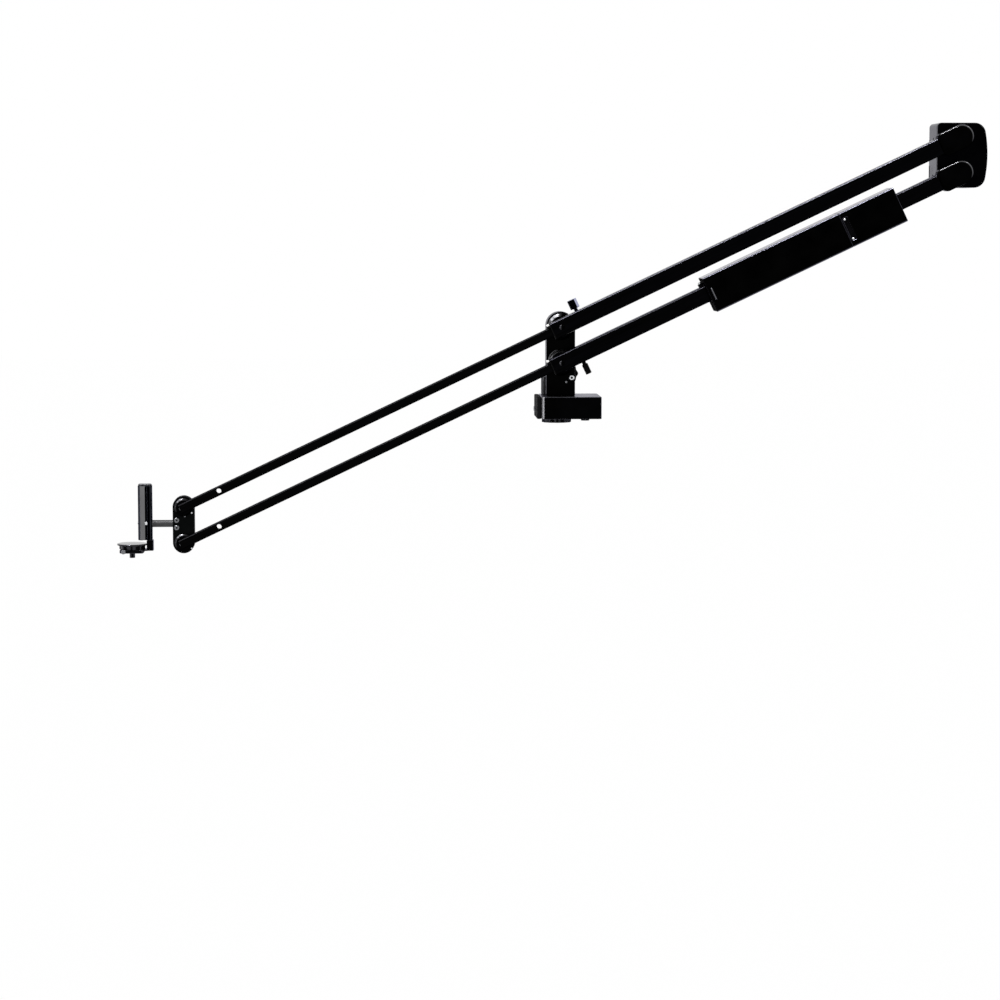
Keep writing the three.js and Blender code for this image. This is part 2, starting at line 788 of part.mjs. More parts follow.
// Counterweight, in the frame of the lower arm.
function buildCounterweight() {
  const group = groupAt(linkage.setback, armY, linkage.lowerPivotHeight);
  group.rotation.y = -tilt;
  const near = -weight.width / 2;
  const middle = (weight.above - weight.below) / 2;

  const groove = alongY(
    roundedRect(
      weightStart + weight.groovePlace - weight.grooveWidth / 2,
      middle - weight.handGroove / 2,
      weightStart + weight.groovePlace + weight.grooveWidth / 2,
      middle + weight.handGroove / 2,
      weight.grooveWidth / 4
    ),
    near - overrun,
    near + weight.grooveDepth
  );
  add(group, 'counterweight_case', 'anodised', cut(caseSection(weightStart, weightSeam), groove));

  const stripX = weightSeam + fit + jointStrip.place;
  const recess = alongY(
    roundedRect(
      stripX - jointStrip.width / 2 - fit,
      middle - jointStrip.length / 2 - fit,
      stripX + jointStrip.width / 2 + fit,
      middle + jointStrip.length / 2 + fit,
      jointStrip.corner
    ),
    near - overrun,
    near + jointStrip.thickness
  );
  const endSection = caseSection(weightSeam + fit, weightEnd);
  add(group, 'counterweight_end_case', 'anodised', cut(endSection, recess));
  const strip = alongY(
    roundedRect(
      stripX - jointStrip.width / 2,
      middle - jointStrip.length / 2,
      stripX + jointStrip.width / 2,
      middle + jointStrip.length / 2,
      jointStrip.corner
    ),
    near,
    near + jointStrip.thickness - fit
  );
  add(group, 'counterweight_joint_strip', 'anodised', strip);

  const barOuter = weight.width / 2 - weight.wall - fit;
  const barInner = rearTube.width / 2 + weightBar.gap;
  for (const [name, side] of [['weight_bar_near', -1], ['weight_bar_far', 1]]) {
    const bar = alongX(
      roundedRect(
        Math.min(side * barInner, side * barOuter),
        -weight.below + weight.wall + fit,
        Math.max(side * barInner, side * barOuter),
        weight.above - weight.wall - fit,
        fit
      ),
      weightStart + weight.wall + fit,
      weightSeam - weight.wall - fit
    );
    add(group, name, 'ballast', bar);
  }

  const clampFoot = rearTube.height / 2 + fit;
  const clampEnd = weightStart - fit;
  const clampX = clampEnd - slideClamp.length / 2;
  const block = alongZ(
    roundedRect(
      clampEnd - slideClamp.length,
      -slideClamp.width / 2,
      clampEnd,
      slideClamp.width / 2,
      slideClamp.corner
    ),
    clampFoot,
    clampFoot + slideClamp.height
  );
  const screwHole = rodZ(
    slideScrew.shank + fit,
    clampFoot - overrun,
    clampFoot + slideClamp.height + overrun,
    clampX,
    0
  );
  add(group, 'slide_clamp', 'anodised', cut(block, screwHole));
  const screwFace = clampFoot + slideClamp.height + fit;
  const head = rodZ(slideScrew.radius, screwFace, screwFace + slideScrew.height, clampX, 0, slideScrew.edge);
  const shank = rodZ(slideScrew.shank, clampFoot, screwFace + slideScrew.edge, clampX, 0);
  add(group, 'slide_clamp_screw', 'bright', join(head, shank));
  return group;
}

// Outline of the front plate: two round ends about the two pivots.
function frontPlateOutline() {
  const shape = new THREE.Shape();
  shape.absarc(0, 0, frontPlate.radius, Math.PI, 2 * Math.PI, false);
  shape.absarc(0, linkage.pivotSpacing, frontPlate.radius, 0, Math.PI, false);
  shape.closePath();
  return shape;
}

// Section of the column: two lobes side by side, with a groove on the near and the far face.
function columnOutline() {
  const halfWidth = column.width / 2;
  const halfDepth = column.depth / 2;
  const halfGroove = column.grooveWidth / 2;
  const corner = column.corner;
  const quarter = Math.PI / 2;
  const shape = new THREE.Shape();
  shape.moveTo(0, -halfDepth + column.grooveDepth);
  shape.lineTo(halfGroove, -halfDepth);
  shape.absarc(halfWidth - corner, -halfDepth + corner, corner, -quarter, 0, false);
  shape.absarc(halfWidth - corner, halfDepth - corner, corner, 0, quarter, false);
  shape.lineTo(halfGroove, halfDepth);
  shape.lineTo(0, halfDepth - column.grooveDepth);
  shape.lineTo(-halfGroove, halfDepth);
  shape.absarc(-halfWidth + corner, halfDepth - corner, corner, quarter, 2 * quarter, false);
  shape.absarc(-halfWidth + corner, -halfDepth + corner, corner, 2 * quarter, 3 * quarter, false);
  shape.lineTo(-halfGroove, -halfDepth);
  shape.closePath();
  return shape;
}

// Front head about the lower front pivot: plate, pins, rod, column, foot bracket, seat and knobs.
function buildFrontHead() {
  const head = groupAt(frontPivotX, 0, frontPivotZ);
  const rodY0 = (frontPlateNear + frontPlateFar) / 2;
  const rodZ0 = linkage.pivotSpacing / 2 + rod.rise;
  const pinHoles = [0, linkage.pivotSpacing].map((z) =>
    rodY(frontPin.radius + fit, frontPlateNear - overrun, frontPlateFar + overrun, 0, z, 0, ringSteps)
  );
  const rodEnd = -frontPlate.radius + rod.inPlate;
  const screwHoles = [-1, 1].map((side) =>
    rodY(
      clampScrew.shank + fit,
      frontPlateNear - overrun,
      frontPlateNear + clampScrew.shankLength + fit,
      -clampScrew.setback,
      rodZ0 + side * clampScrew.spread
    )
  );
  const rodBore = rodX(rod.radius + fit, -frontPlate.radius - overrun, rodEnd + fit, rodY0, rodZ0);
  const plate = alongY(frontPlateOutline(), frontPlateNear, frontPlateFar, frontPlate.edge);
  add(head, 'front_plate', 'anodised', cut(plate, rodBore, ...pinHoles, ...screwHoles));

  for (const [name, z] of [['lower_front_pin', 0], ['upper_front_pin', linkage.pivotSpacing]]) {
    const headNear = frontHubNear + fit;
    const headFar = headNear + frontPin.headThickness;
    const pinHead = rodY(frontPin.headRadius, headNear, headFar, 0, z, 0, ringSteps);
    const shank = rodY(frontPin.radius, headFar - fit, frontPlateFar, 0, z, 0, ringSteps);
    add(head, name, 'steel', join(pinHead, shank));
  }

  for (const [name, side] of [['rod_clamp_screw_lower', -1], ['rod_clamp_screw_upper', 1]]) {
    const face = frontPlateNear - fit;
    const x = -clampScrew.setback;
    const z = rodZ0 + side * clampScrew.spread;
    const screwHead = rodY(clampScrew.radius, face - clampScrew.height, face, x, z, clampScrew.edge);
    const shank = rodY(clampScrew.shank, face - clampScrew.edge, frontPlateNear + clampScrew.shankLength, x, z);
    add(head, name, 'steel', join(screwHead, shank));
  }

  const columnRight = -column.place + column.width / 2;
  const rodStart = columnRight - rod.inColumn;
  add(head, 'head_rod', 'steel', rodX(rod.radius, rodStart, rodEnd, rodY0, rodZ0, rod.edge));

  const columnBody = alongZ(columnOutline(), column.foot, column.top, column.edge).translate(-column.place, rodY0, 0);
  const columnBore = rodX(rod.radius + fit, rodStart - fit, columnRight + overrun, rodY0, rodZ0);
  add(head, 'grip_column', 'anodised', cut(columnBody, columnBore));

  const knobFace = -tieKnob.drop;
  const rimFoot = knobFace - tieKnob.rim;
  const gripFoot = rimFoot - tieKnob.gripHeight;
  const knobX = -tieKnob.place;
  const tongueTop = gripFoot - fit;
  const tongueFoot = tongueTop - footBracket.tongueThickness;
  const tongueLeft = knobX - footBracket.reach;
  const uprightRight = columnRight + footBracket.overhang;
  const uprightLeft = uprightRight - footBracket.width;
  const halfTongue = footBracket.tongueWidth / 2;
  const upright = alongZ(
    roundedRect(uprightLeft, -footBracket.depth / 2, uprightRight, footBracket.depth / 2, footBracket.edge),
    tongueFoot,
    column.foot - fit
  );
  const knobRoom = rodZ(tieKnob.radius + footBracket.relief, tongueTop, column.foot, knobX, 0, 0, ringSteps);
  const tongue = alongZ(
    roundedRect(tongueLeft, -halfTongue, uprightRight - footBracket.edge, halfTongue, fit),
    tongueFoot,
    tongueTop
  );
  const studHole = rodZ(tieKnob.stud + fit, tongueFoot - overrun, tongueTop + overrun, knobX, 0);
  const bracket = cut(join(cut(upright, knobRoom), tongue), studHole).translate(0, rodY0, 0);
  add(head, 'foot_bracket', 'anodised', bracket);

  const seatLeft = knobX - seat.length / 2;
  const seatRight = knobX + seat.length / 2;
  const seatFoot = tongueTop - seat.thickness;
  const seatBody = alongZ(
    roundedRect(seatLeft, -seat.width / 2, seatRight, seat.width / 2, seat.corner),
    seatFoot,
    tongueTop,
    seat.edge
  );
  const slot = alongZ(
    roundedRect(tongueLeft - fit, -halfTongue - fit, seatRight + overrun, halfTongue + fit, fit),
    tongueFoot - fit,
    tongueTop + overrun
  );
  const seatHole = rodZ(tieKnob.stud + fit, seatFoot - overrun, tongueTop + overrun, knobX, 0);
  const lockX = seatLeft + seatLock.inset;
  const lockZ = seatFoot + seatLock.rise;
  const lockFace = -seat.width / 2 - fit;
  const lockTip = lockFace + seatLock.shankLength;
  const lockHole = rodY(seatLock.shank + fit, lockFace - overrun, lockTip + fit, lockX, lockZ);
  add(head, 'camera_seat', 'anodised', cut(seatBody, slot, seatHole, lockHole).translate(0, rodY0, 0));

  const lockHead = rodY(seatLock.radius, lockFace - seatLock.height, lockFace, lockX, lockZ, seatLock.edge);
  const lockShank = rodY(seatLock.shank, lockFace - seatLock.edge, lockTip, lockX, lockZ);
  add(head, 'seat_lock_screw', 'steel', join(lockHead, lockShank).translate(0, rodY0, 0));

  const rim = alongZ(roundOutline(tieKnob.radius, ringSteps), rimFoot, knobFace, tieKnob.edge);
  const grip = alongZ(
    roundOutline(tieKnob.gripRadius, ringSteps, tieKnob.lobes, tieKnob.lobeDepth),
    gripFoot,
    rimFoot + tieKnob.edge,
    tieKnob.gripEdge
  );
  const stud = rodZ(tieKnob.stud, seatFoot - tieKnob.studReach, gripFoot + tieKnob.gripEdge, 0, 0);
  add(head, 'tie_down_knob', 'plastic', join(rim, grip, stud).translate(knobX, rodY0, 0));
  return head;
}

// Outline of the rear head about the lower rear pivot: small corners in front, large ones and a slight bulge behind.
function rearHeadOutline(inset) {
  const left = -rearHead.front + inset;
  const right = rearHead.back - inset;
  const bottom = -rearHead.below + inset;
  const top = linkage.pivotSpacing + rearHead.above - inset;
  const small = rearHead.smallCorner;
  const large = rearHead.largeCorner - inset;
  const quarter = Math.PI / 2;
  const shape = new THREE.Shape();
  shape.moveTo(left + small, bottom);
  shape.lineTo(right - large, bottom);
  shape.absarc(right - large, bottom + large, large, -quarter, -quarter / 6, false);
  shape.quadraticCurveTo(
    right + 2 * rearHead.bulge,
    (bottom + top) / 2,
    right - large + large * Math.cos(quarter / 6),
    top - large + large * Math.sin(quarter / 6)
  );
  shape.absarc(right - large, top - large, large, quarter / 6, quarter, false);
  shape.lineTo(left + small, top);
  shape.absarc(left + small, top - small, small, quarter, 2 * quarter, false);
  shape.absarc(left + small, bottom + small, small, 2 * quarter, 3 * quarter, false);
  shape.closePath();
  return shape;
}

// Rear head about the lower rear pivot: plate with its two pins, and the housing behind it.
function buildRearHead() {
  const head = groupAt(rearPivotX, 0, rearPivotZ);
  const heights = [['lower_rear_pin', 0], ['upper_rear_pin', linkage.pivotSpacing]];
  const pinHoles = heights.map(([, z]) =>
    rodY(rearPin.radius + fit, rearPlateNear - overrun, rearPlateFar + overrun, 0, z, 0, ringSteps)
  );
  const plate = alongY(rearHeadOutline(0), rearPlateNear, rearPlateFar, rearPlate.edge);
  add(head, 'rear_plate', 'anodised', cut(plate, ...pinHoles));

  for (const [name, z] of heights) {
    const start = rearPlateNear - knuckle.boreDepth;
    const flangeNear = rearPlateFar + fit;
    const shank = rodY(rearPin.radius, start + fit, flangeNear + fit, 0, z, 0, ringSteps);
    const flange = rodY(rearPin.flangeRadius, flangeNear, flangeNear + rearPin.flangeThickness, 0, z, 0, ringSteps);
    add(head, name, 'steel', join(shank, flange));
  }

  const housingNear = rearPlateFar + fit;
  const housingFar = housingNear + rearHousing.depth;
  const shell = alongY(rearHeadOutline(0), housingNear, housingFar, rearHousing.edge);
  const room = alongY(rearHeadOutline(rearHousing.wall), housingNear - overrun, housingFar - rearHousing.wall);
  add(head, 'rear_housing', 'anodised', cut(shell, room));
  return head;
}

const jib = new THREE.Group();
jib.add(buildFixedSide());
jib.add(buildBase());
jib.add(buildPost());
jib.add(buildArm('lower', linkage.lowerPivotHeight));
jib.add(buildArm('upper', upperPivotHeight));
jib.add(buildCounterweight());
jib.add(buildFrontHead());
jib.add(buildRearHead());

export default jib;
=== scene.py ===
import json
from math import cos, pi, radians, sin

import bmesh
import bpy
from mathutils import Matrix, Vector


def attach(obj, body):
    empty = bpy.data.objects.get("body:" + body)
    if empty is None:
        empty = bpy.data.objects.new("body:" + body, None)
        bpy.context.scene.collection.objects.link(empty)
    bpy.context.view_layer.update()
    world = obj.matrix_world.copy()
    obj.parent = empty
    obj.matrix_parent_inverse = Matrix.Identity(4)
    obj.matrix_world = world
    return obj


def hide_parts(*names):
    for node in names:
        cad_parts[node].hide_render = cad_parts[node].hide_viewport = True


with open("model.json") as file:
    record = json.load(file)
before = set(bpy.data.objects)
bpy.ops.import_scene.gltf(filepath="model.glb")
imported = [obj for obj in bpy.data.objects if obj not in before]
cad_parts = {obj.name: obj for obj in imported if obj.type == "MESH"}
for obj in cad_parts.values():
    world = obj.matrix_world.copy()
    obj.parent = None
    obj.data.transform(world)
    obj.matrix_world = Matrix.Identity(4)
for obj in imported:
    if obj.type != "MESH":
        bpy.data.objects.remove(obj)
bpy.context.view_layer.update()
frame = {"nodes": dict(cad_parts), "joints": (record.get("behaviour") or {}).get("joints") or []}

joints = {joint["name"]: joint for joint in frame["joints"]}


# ---------------------------------------------------------------------------------------------
# Tripod disc, with the steel spindle that rises from it and the nut that holds the base down.
# Turned aluminium with a scalloped rim for the hand, blasted and anodised black; steel spindle.
# ---------------------------------------------------------------------------------------------
def linear(colour):
    """A colour such as #1a2b3c as linear light with full opacity."""
    shares = [int(colour[i:i + 2], 16) / 255 for i in (1, 3, 5)]
    return [s / 12.92 if s <= 0.04045 else ((s + 0.055) / 1.055) ** 2.4 for s in shares] + [1.0]


def add_node(finish, kind, inputs, **settings):
    """Adds a node to a finish; each input gets a value or the socket that feeds it."""
    node = finish.node_tree.nodes.new(kind)
    for name, value in settings.items():
        setattr(node, name, value)
    for name, value in inputs.items():
        if isinstance(value, bpy.types.NodeSocket):
            finish.node_tree.links.new(value, node.inputs[name])
        else:
            node.inputs[name].default_value = value
    return node


def new_finish(name):
    finish = bpy.data.materials.new(name)
    finish.use_nodes = True
    finish.node_tree.nodes.clear()
    return finish


def per_mm(size):
    """Scale of a pattern whose marks are that many millimetres apart, for coordinates in metres."""
    return 1000 / size


def looking(finish, direction, low, high):
    """0 where the surface looks away from a direction in its piece's own frame, 1 where it looks there."""
    normal = add_node(finish, "ShaderNodeTexCoord", {}).outputs["Normal"]
    share = add_node(finish, "ShaderNodeVectorMath", {0: normal, 1: direction}, operation="DOT_PRODUCT")
    return add_node(finish, "ShaderNodeMapRange", {
        "Value": share.outputs["Value"], "From Min": low, "From Max": high}).outputs["Result"]


def ramp(finish, share, low, low_colour, high, high_colour):
    """One colour up to the low share, another from the high share on, and a blend in between."""
    node = add_node(finish, "ShaderNodeValToRGB", {"Fac": share})
    for element, place, colour in zip(node.color_ramp.elements, (low, high), (low_colour, high_colour)):
        element.position = place
        element.color = linear(colour)
    return node.outputs["Color"]


def mixed(finish, share, first, second, blend="MIX"):
    """Two colours mixed; on the node, socket 0 is the share and sockets 6 and 7 are the colours."""
    sockets = {0: share, 6: first, 7: second}
    return add_node(finish, "ShaderNodeMix", sockets, data_type="RGBA", blend_type=blend).outputs[2]


def spread(finish, share, low, high):
    """A share of 0.3 to 0.7, which is where a noise mostly lies, spread over low to high."""
    return add_node(finish, "ShaderNodeMapRange", {
        "Value": share, "From Min": 0.3, "From Max": 0.7, "To Min": low, "To Max": high}).outputs["Result"]


def with_painted_sheen(finish, colour, sheen, start=0.03, full=0.15, share=1.0):
    """The colour, with a painted sheen added where the surface turns away from the eye: a painted
    reflection of the light caught at grazing angles.
    """
    away = add_node(finish, "ShaderNodeLayerWeight", {"Blend": 0.5}).outputs["Facing"]
    return mixed(finish, share, colour, ramp(finish, away, start, "#000000", full, sheen), "ADD")


def lit_upper_side(finish):
    """0 on the lower side of a piece in its own frame and 1 on its upper side: the mask that keeps a
    painted sheen to the upper side, where the overhead light falls.
    """
    return looking(finish, (0, 0, 1), 0.05, 0.4)


def anodised_aluminium(name, deep, pale, rim, roughness, sheen="#3c3c40", start=0.03, full=0.15,
                       grain=0.9, depth=0.01, bright=None, reach=(0.08, 0.42), lit_from_above=False):
    """Aluminium, bead blasted and dyed black: a deep satin black that pales at a grazing eye, a painted
    sheen.
    The grain of the beads is drawn 0.9 mm wide, coarser than the real 0.1 mm, so that it shows, and
    depth mm deep. With bright, a direction, the colour is lighter on that side only, a painted highlight,
    and deep black elsewhere, and reach says how far round; with above, the painted sheen lies only on
    the upper side, where the overhead light falls."""
    finish = new_finish(name)
    where = add_node(finish, "ShaderNodeTexCoord", {}).outputs["Object"]
    clouds = add_node(finish, "ShaderNodeTexNoise", {"Vector": where, "Scale": per_mm(38), "Detail": 3.0})
    beads = add_node(finish, "ShaderNodeTexNoise", {"Vector": where, "Scale": per_mm(grain), "Detail": 2.0})
    colour = ramp(finish, clouds.outputs["Fac"], 0.3, deep, 0.72, pale)
    bumps = add_node(finish, "ShaderNodeBump", {
        "Height": beads.outputs["Fac"], "Strength": 0.35, "Distance": depth / 1000})
    # Painted highlight: the colour stays on the side that bright points to and turns deep black elsewhere.
    if bright:
        colour = mixed(finish, looking(finish, bright, *reach), linear("#020202"), colour)
    colour = with_painted_sheen(finish, colour, sheen, start, full, lit_upper_side(finish) if lit_from_above else 1.0)
    metal = add_node(finish, "ShaderNodeBsdfPrincipled", {
        "Base Color": colour, "Metallic": 1.0, "Specular Tint": linear(rim),
        "Roughness": spread(finish, clouds.outputs["Fac"], roughness - 0.03, roughness + 0.04),
        "Normal": bumps.outputs["Normal"]})
    add_node(finish, "ShaderNodeOutputMaterial", {"Surface": metal.outputs["BSDF"]})
    return finish


def turned_steel(name, base, rim, roughness, pitch=0.7, axis="Z"):
    """Steel turned on a lathe: fine rings round its axis, drawn 0.7 mm apart so that they show."""
    finish = new_finish(name)
    where = add_node(finish, "ShaderNodeTexCoord", {}).outputs["Object"]
    rings = add_node(finish, "ShaderNodeTexWave", {
        "Vector": where, "Scale": per_mm(pitch) / 20, "Distortion": 0.6, "Detail": 1.0,
        "Detail Scale": 4.0}, wave_type="RINGS", rings_direction=axis)
    smears = add_node(finish, "ShaderNodeTexNoise", {"Vector": where, "Scale": per_mm(9), "Detail": 3.0})
    bumps = add_node(finish, "ShaderNodeBump", {
        "Height": rings.outputs["Fac"], "Strength": 0.2, "Distance": 0.00002})
    metal = add_node(finish, "ShaderNodeBsdfPrincipled", {
        "Base Color": ramp(finish, smears.outputs["Fac"], 0.3, rim, 0.7, base), "Metallic": 1.0,
        "Roughness": spread(finish, smears.outputs["Fac"], roughness - 0.04, roughness + 0.05),
        "Normal": bumps.outputs["Normal"]})
    add_node(finish, "ShaderNodeOutputMaterial", {"Surface": metal.outputs["BSDF"]})
    return finish


def circle(radius, steps=72, lobes=0, dip=0.0):
    """A round outline, scalloped where a number of lobes is given."""
    turns = [2 * pi * i / steps for i in range(steps)]
    reach = [radius - dip / 2 * (1 - cos(lobes * a)) for a in turns]
    return [(r * cos(a), r * sin(a)) for r, a in zip(reach, turns)]


def prism(outline, axis, start, end):
    """A solid with that outline, drawn out along an axis from start to end, in millimetres."""
    spots = {"X": lambda u, v, w: (w, u, v), "Y": lambda u, v, w: (u, w, v),
             "Z": lambda u, v, w: (u, v, w)}[axis]
    shape = bmesh.new()
    ends = [[shape.verts.new(spots(u, v, w)) for u, v in outline] for w in (start, end)]
    shape.faces.new(ends[0])
    shape.faces.new(ends[1])
    for i in range(len(outline)):
        j = (i + 1) % len(outline)
        shape.faces.new((ends[0][i], ends[0][j], ends[1][j], ends[1][i]))
    bmesh.ops.recalc_face_normals(shape, faces=shape.faces)
    return shape


def turned(profile, axis="Z", steps=72, bored=False):
    """A solid turned about an axis from pairs of place along the axis and radius, in millimetres."""
    spots = {"X": lambda w, a, b: (w, a, b), "Y": lambda w, a, b: (a, w, b),
             "Z": lambda w, a, b: (a, b, w)}[axis]
    shape = bmesh.new()
    rings = []
    for place, radius in profile:
        rings.append([shape.verts.new(spots(place, radius * cos(2 * pi * i / steps),
                                            radius * sin(2 * pi * i / steps))) for i in range(steps)])
    pairs = list(zip(rings, rings[1:])) + ([(rings[-1], rings[0])] if bored else [])
    for low, high in pairs:
        for i in range(steps):
            j = (i + 1) % steps
            shape.faces.new((low[i], low[j], high[j], high[i]))
    if not bored:
        shape.faces.new(rings[0])
        shape.faces.new(rings[-1])
    bmesh.ops.remove_doubles(shape, verts=shape.verts, dist=0.0005)
    bmesh.ops.recalc_face_normals(shape, faces=shape.faces)
    return shape


def moved(shape, x=0.0, y=0.0, z=0.0):
    shape.transform(Matrix.Translation((x, y, z)))
    return shape


def mesh_in_metres(name, shapes):
    mesh = bpy.data.meshes.new(name)
    whole = bmesh.new()
    for shape in shapes:
        part = bpy.data.meshes.new("part")
        shape.to_mesh(part)
        shape.free()
        whole.from_mesh(part)
        bpy.data.meshes.remove(part)
    whole.transform(Matrix.Scale(0.001, 4))
    whole.to_mesh(mesh)
    whole.free()
    return mesh


def make(name, shapes, place, finish, body, nodes=(), edge=0.0, holes=(), sharp=32, trim=None,
         on=None, upright=False):
    """Makes one piece from shapes in millimetres in the frame of place, with holes cut and edges
    rounded. A second finish, trim, goes on the rounded edges, or on the faces that on picks by
    normal. An upright piece keeps its place, but its own frame stands level, as the scene's does."""
    shapes = shapes if isinstance(shapes, list) else [shapes]
    piece = bpy.data.objects.new(name, mesh_in_metres(name, shapes))
    bpy.context.scene.collection.objects.link(piece)
    piece.matrix_world = place
    if holes:
        cutters = []
        for hole in holes:
            cutter = bpy.data.objects.new("cutter", mesh_in_metres("cutter", [hole]))
            bpy.context.scene.collection.objects.link(cutter)
            cutter.matrix_world = place
            step = piece.modifiers.new("hole", "BOOLEAN")
            step.object = cutter
            step.solver = "EXACT"
            step.use_self = len(shapes) > 1
            cutters.append(cutter)
        bpy.context.view_layer.update()
        cut = bpy.data.meshes.new_from_object(piece.evaluated_get(bpy.context.evaluated_depsgraph_get()))
        piece.modifiers.clear()
        piece.data = cut
        cut.name = name
        for cutter in cutters:
            bpy.data.objects.remove(cutter)
    piece.data.polygons.foreach_set("use_smooth", [True] * len(piece.data.polygons))
    if edge:
        rounding = piece.modifiers.new("rounded edges", "BEVEL")
        rounding.width = edge / 1000
        rounding.segments = 3
        rounding.limit_method = "ANGLE"
        rounding.angle_limit = radians(sharp)
        rounding.use_clamp_overlap = False
    else:
        piece.data.set_sharp_from_angle(angle=radians(sharp))
    flats = piece.modifiers.new("true flats", "WEIGHTED_NORMAL")
    flats.keep_sharp = True
    piece.data.materials.clear()
    piece.data.materials.append(finish)
    if trim:
        piece.data.materials.append(trim)
        if on:
            for face in piece.data.polygons:
                face.material_index = 1 if on(face.normal) else 0
        else:
            rounding.material = 1
    if upright:
        piece.data.transform(place.to_3x3().to_4x4())
        piece.matrix_world = Matrix.Translation(place.translation)
    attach(piece, body)
    if nodes:
        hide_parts(*nodes)
    return piece


def refinish(finish, *nodes):
    """Gives carried-over nodes a finish of their own."""
    for node in nodes:
        for material_slot in frame["nodes"][node].material_slots:
            material_slot.material = finish


level = Matrix.Identity(4)
disc_black = anodised_aluminium("tripod disc, blasted black anodised aluminium", "#030303", "#070708",
                                "#9a9aa2", 0.36, "#2c2c30")
spindle_steel = turned_steel("spindle, turned steel", "#8d8f92", "#6c6e71", 0.32)
make("tripod_disc_knurled", prism(circle(24.8, 144, 12, 1.5), "Z", 0, 7.7), level, disc_black, "mount",
     ["tripod_disc"], edge=0.8,
     holes=[prism(circle(10.3), "Z", 2.7, 9), prism(circle(4.76), "Z", -1, 4)])
refinish(spindle_steel, "pan_spindle", "spindle_nut", "pan_bearing_lower", "pan_bearing_upper")


# ---------------------------------------------------------------------------------------------
# Pan base: a milled aluminium box, open below, with a floor plate, two floor screws with wide
# heads, a moulded end cap on its left end and the pan lock screw through that cap.
# ---------------------------------------------------------------------------------------------
def rounded_rect(left, low, right, high, radius, steps=9):
    points = []
    for across, up, start in ((right - radius, low + radius, -90), (right - radius, high - radius, 0),
                              (left + radius, high - radius, 90), (left + radius, low + radius, 180)):
        for i in range(steps + 1):
            turn = radians(start + 90 * i / steps)
            points.append((across + radius * cos(turn), up + radius * sin(turn)))
    return points


def moulded_plastic(name, deep, pale, roughness, grain=1.1, level_of_gloss=0.35):
    """Nylon or ABS moulded in a spark-textured tool: even, soft sheen with a fine pebble, drawn
    1.1 mm wide where the real one is 0.2 mm."""
    finish = new_finish(name)
    where = add_node(finish, "ShaderNodeTexCoord", {}).outputs["Object"]
    pebble = add_node(finish, "ShaderNodeTexVoronoi", {"Vector": where, "Scale": per_mm(grain)})
    clouds = add_node(finish, "ShaderNodeTexNoise", {"Vector": where, "Scale": per_mm(14), "Detail": 3.0})
    bumps = add_node(finish, "ShaderNodeBump", {
        "Height": pebble.outputs["Distance"], "Strength": 0.3, "Distance": 0.00003})
    plastic = add_node(finish, "ShaderNodeBsdfPrincipled", {
        "Base Color": ramp(finish, clouds.outputs["Fac"], 0.3, deep, 0.7, pale), "Metallic": 0.0,
        "Roughness": roughness, "Specular IOR Level": level_of_gloss, "Normal": bumps.outputs["Normal"]})
    add_node(finish, "ShaderNodeOutputMaterial", {"Surface": plastic.outputs["BSDF"]})
    return finish


def left_corner(normal):
    return -0.98 < normal.x < -0.1 and abs(normal.z) < 0.1


def hexagon(across_flats):
    reach = across_flats / 2 / cos(pi / 6)
    return [(reach * cos(radians(60 * i + 15)), reach * sin(radians(60 * i + 15))) for i in range(6)]


# The base's painted sheen lies on its top only; its left vertical corners get a lighter finish, a painted
# highlight.
base_black = anodised_aluminium("pan base, milled black anodised aluminium", "#020202", "#050506",
                                "#ecebf6", 0.32, "#3c3c40", 0.01, 0.07, lit_from_above=True)
base_corner_painted_highlight = anodised_aluminium("pan base end corners, satin black anodised aluminium", "#6e6e71",
                                 "#7b7b7e", "#9a9aa0", 0.4, "#202020")
cap_plastic = moulded_plastic("end cap, moulded black nylon", "#0c0c0d", "#131314", 0.7, 1.1, 0.03)
screw_black = turned_steel("blacked steel screws", "#1b1c1e", "#101113", 0.4)
screw_grey = turned_steel("grey steel screws", "#7c7d80", "#5c5d60", 0.3, axis="Y")

make("pan_base_box", prism(rounded_rect(-28, -52, 73, 50, 5.5), "Z", 8, 45.2), level, base_black, "turret",
     ["base_housing"], edge=1.2, trim=base_corner_painted_highlight, on=left_corner,
     holes=[prism(rounded_rect(-25, -49, 70, 47, 2.5), "Z", 7, 42.2),
            moved(turned([(-30, 2.7), (-24, 2.7)], "X", 32), 0, 0, 23)])
make("pan_base_end_cap", prism(rounded_rect(-46.5, 8, 44.5, 45.2, 4), "X", -35.3, -28.3), level,
     cap_plastic, "turret", ["base_end_cap"], edge=1.5,
     holes=[moved(turned([(-37, 2.7), (-27, 2.7)], "X", 32), 0, 0, 23)])
refinish(base_black, "base_floor")
for side, node in ((-30, "floor_screw_near"), (30, "floor_screw_far")):
    make(node + "_head", [prism(circle(7.2, 48), "Z", -3.4, 0), prism(circle(2, 24), "Z", -0.6, 3.2)],
         Matrix.Translation((0.0465, side / 1000, 0.008)), screw_black, "turret", [node],
         edge=0.5, holes=[prism(hexagon(5), "Z", -4, -1.4)])
make("pan_lock_knurled_screw",
     [turned([(-3, 0), (-3, 3.7), (-2.4, 4.4), (-0.5, 4.4), (0, 4.0), (0, 0)], "X", 48),
      turned([(-0.3, 2.4), (25, 2.4)], "X", 32)],
     Matrix.Translation((-0.0356, 0, 0.023)), screw_grey, "pan_lock", ["pan_lock_screw"],
     holes=[prism(hexagon(3), "X", -4, -1.2)])


# ---------------------------------------------------------------------------------------------
# Post: one milled aluminium block with a round top, that stands on the base and carries both
# pivot shafts; a block behind its foot, a bright socket screw, and the tilt lock's hand knob.
# ---------------------------------------------------------------------------------------------
def arch(left, right, foot, centre, steps=48):
    radius = (right - left) / 2
    middle = (right + left) / 2
    top = [(middle + radius * cos(pi * i / steps), centre + radius * sin(pi * i / steps))
           for i in range(steps + 1)]
    return [(left, foot), (right, foot)] + top


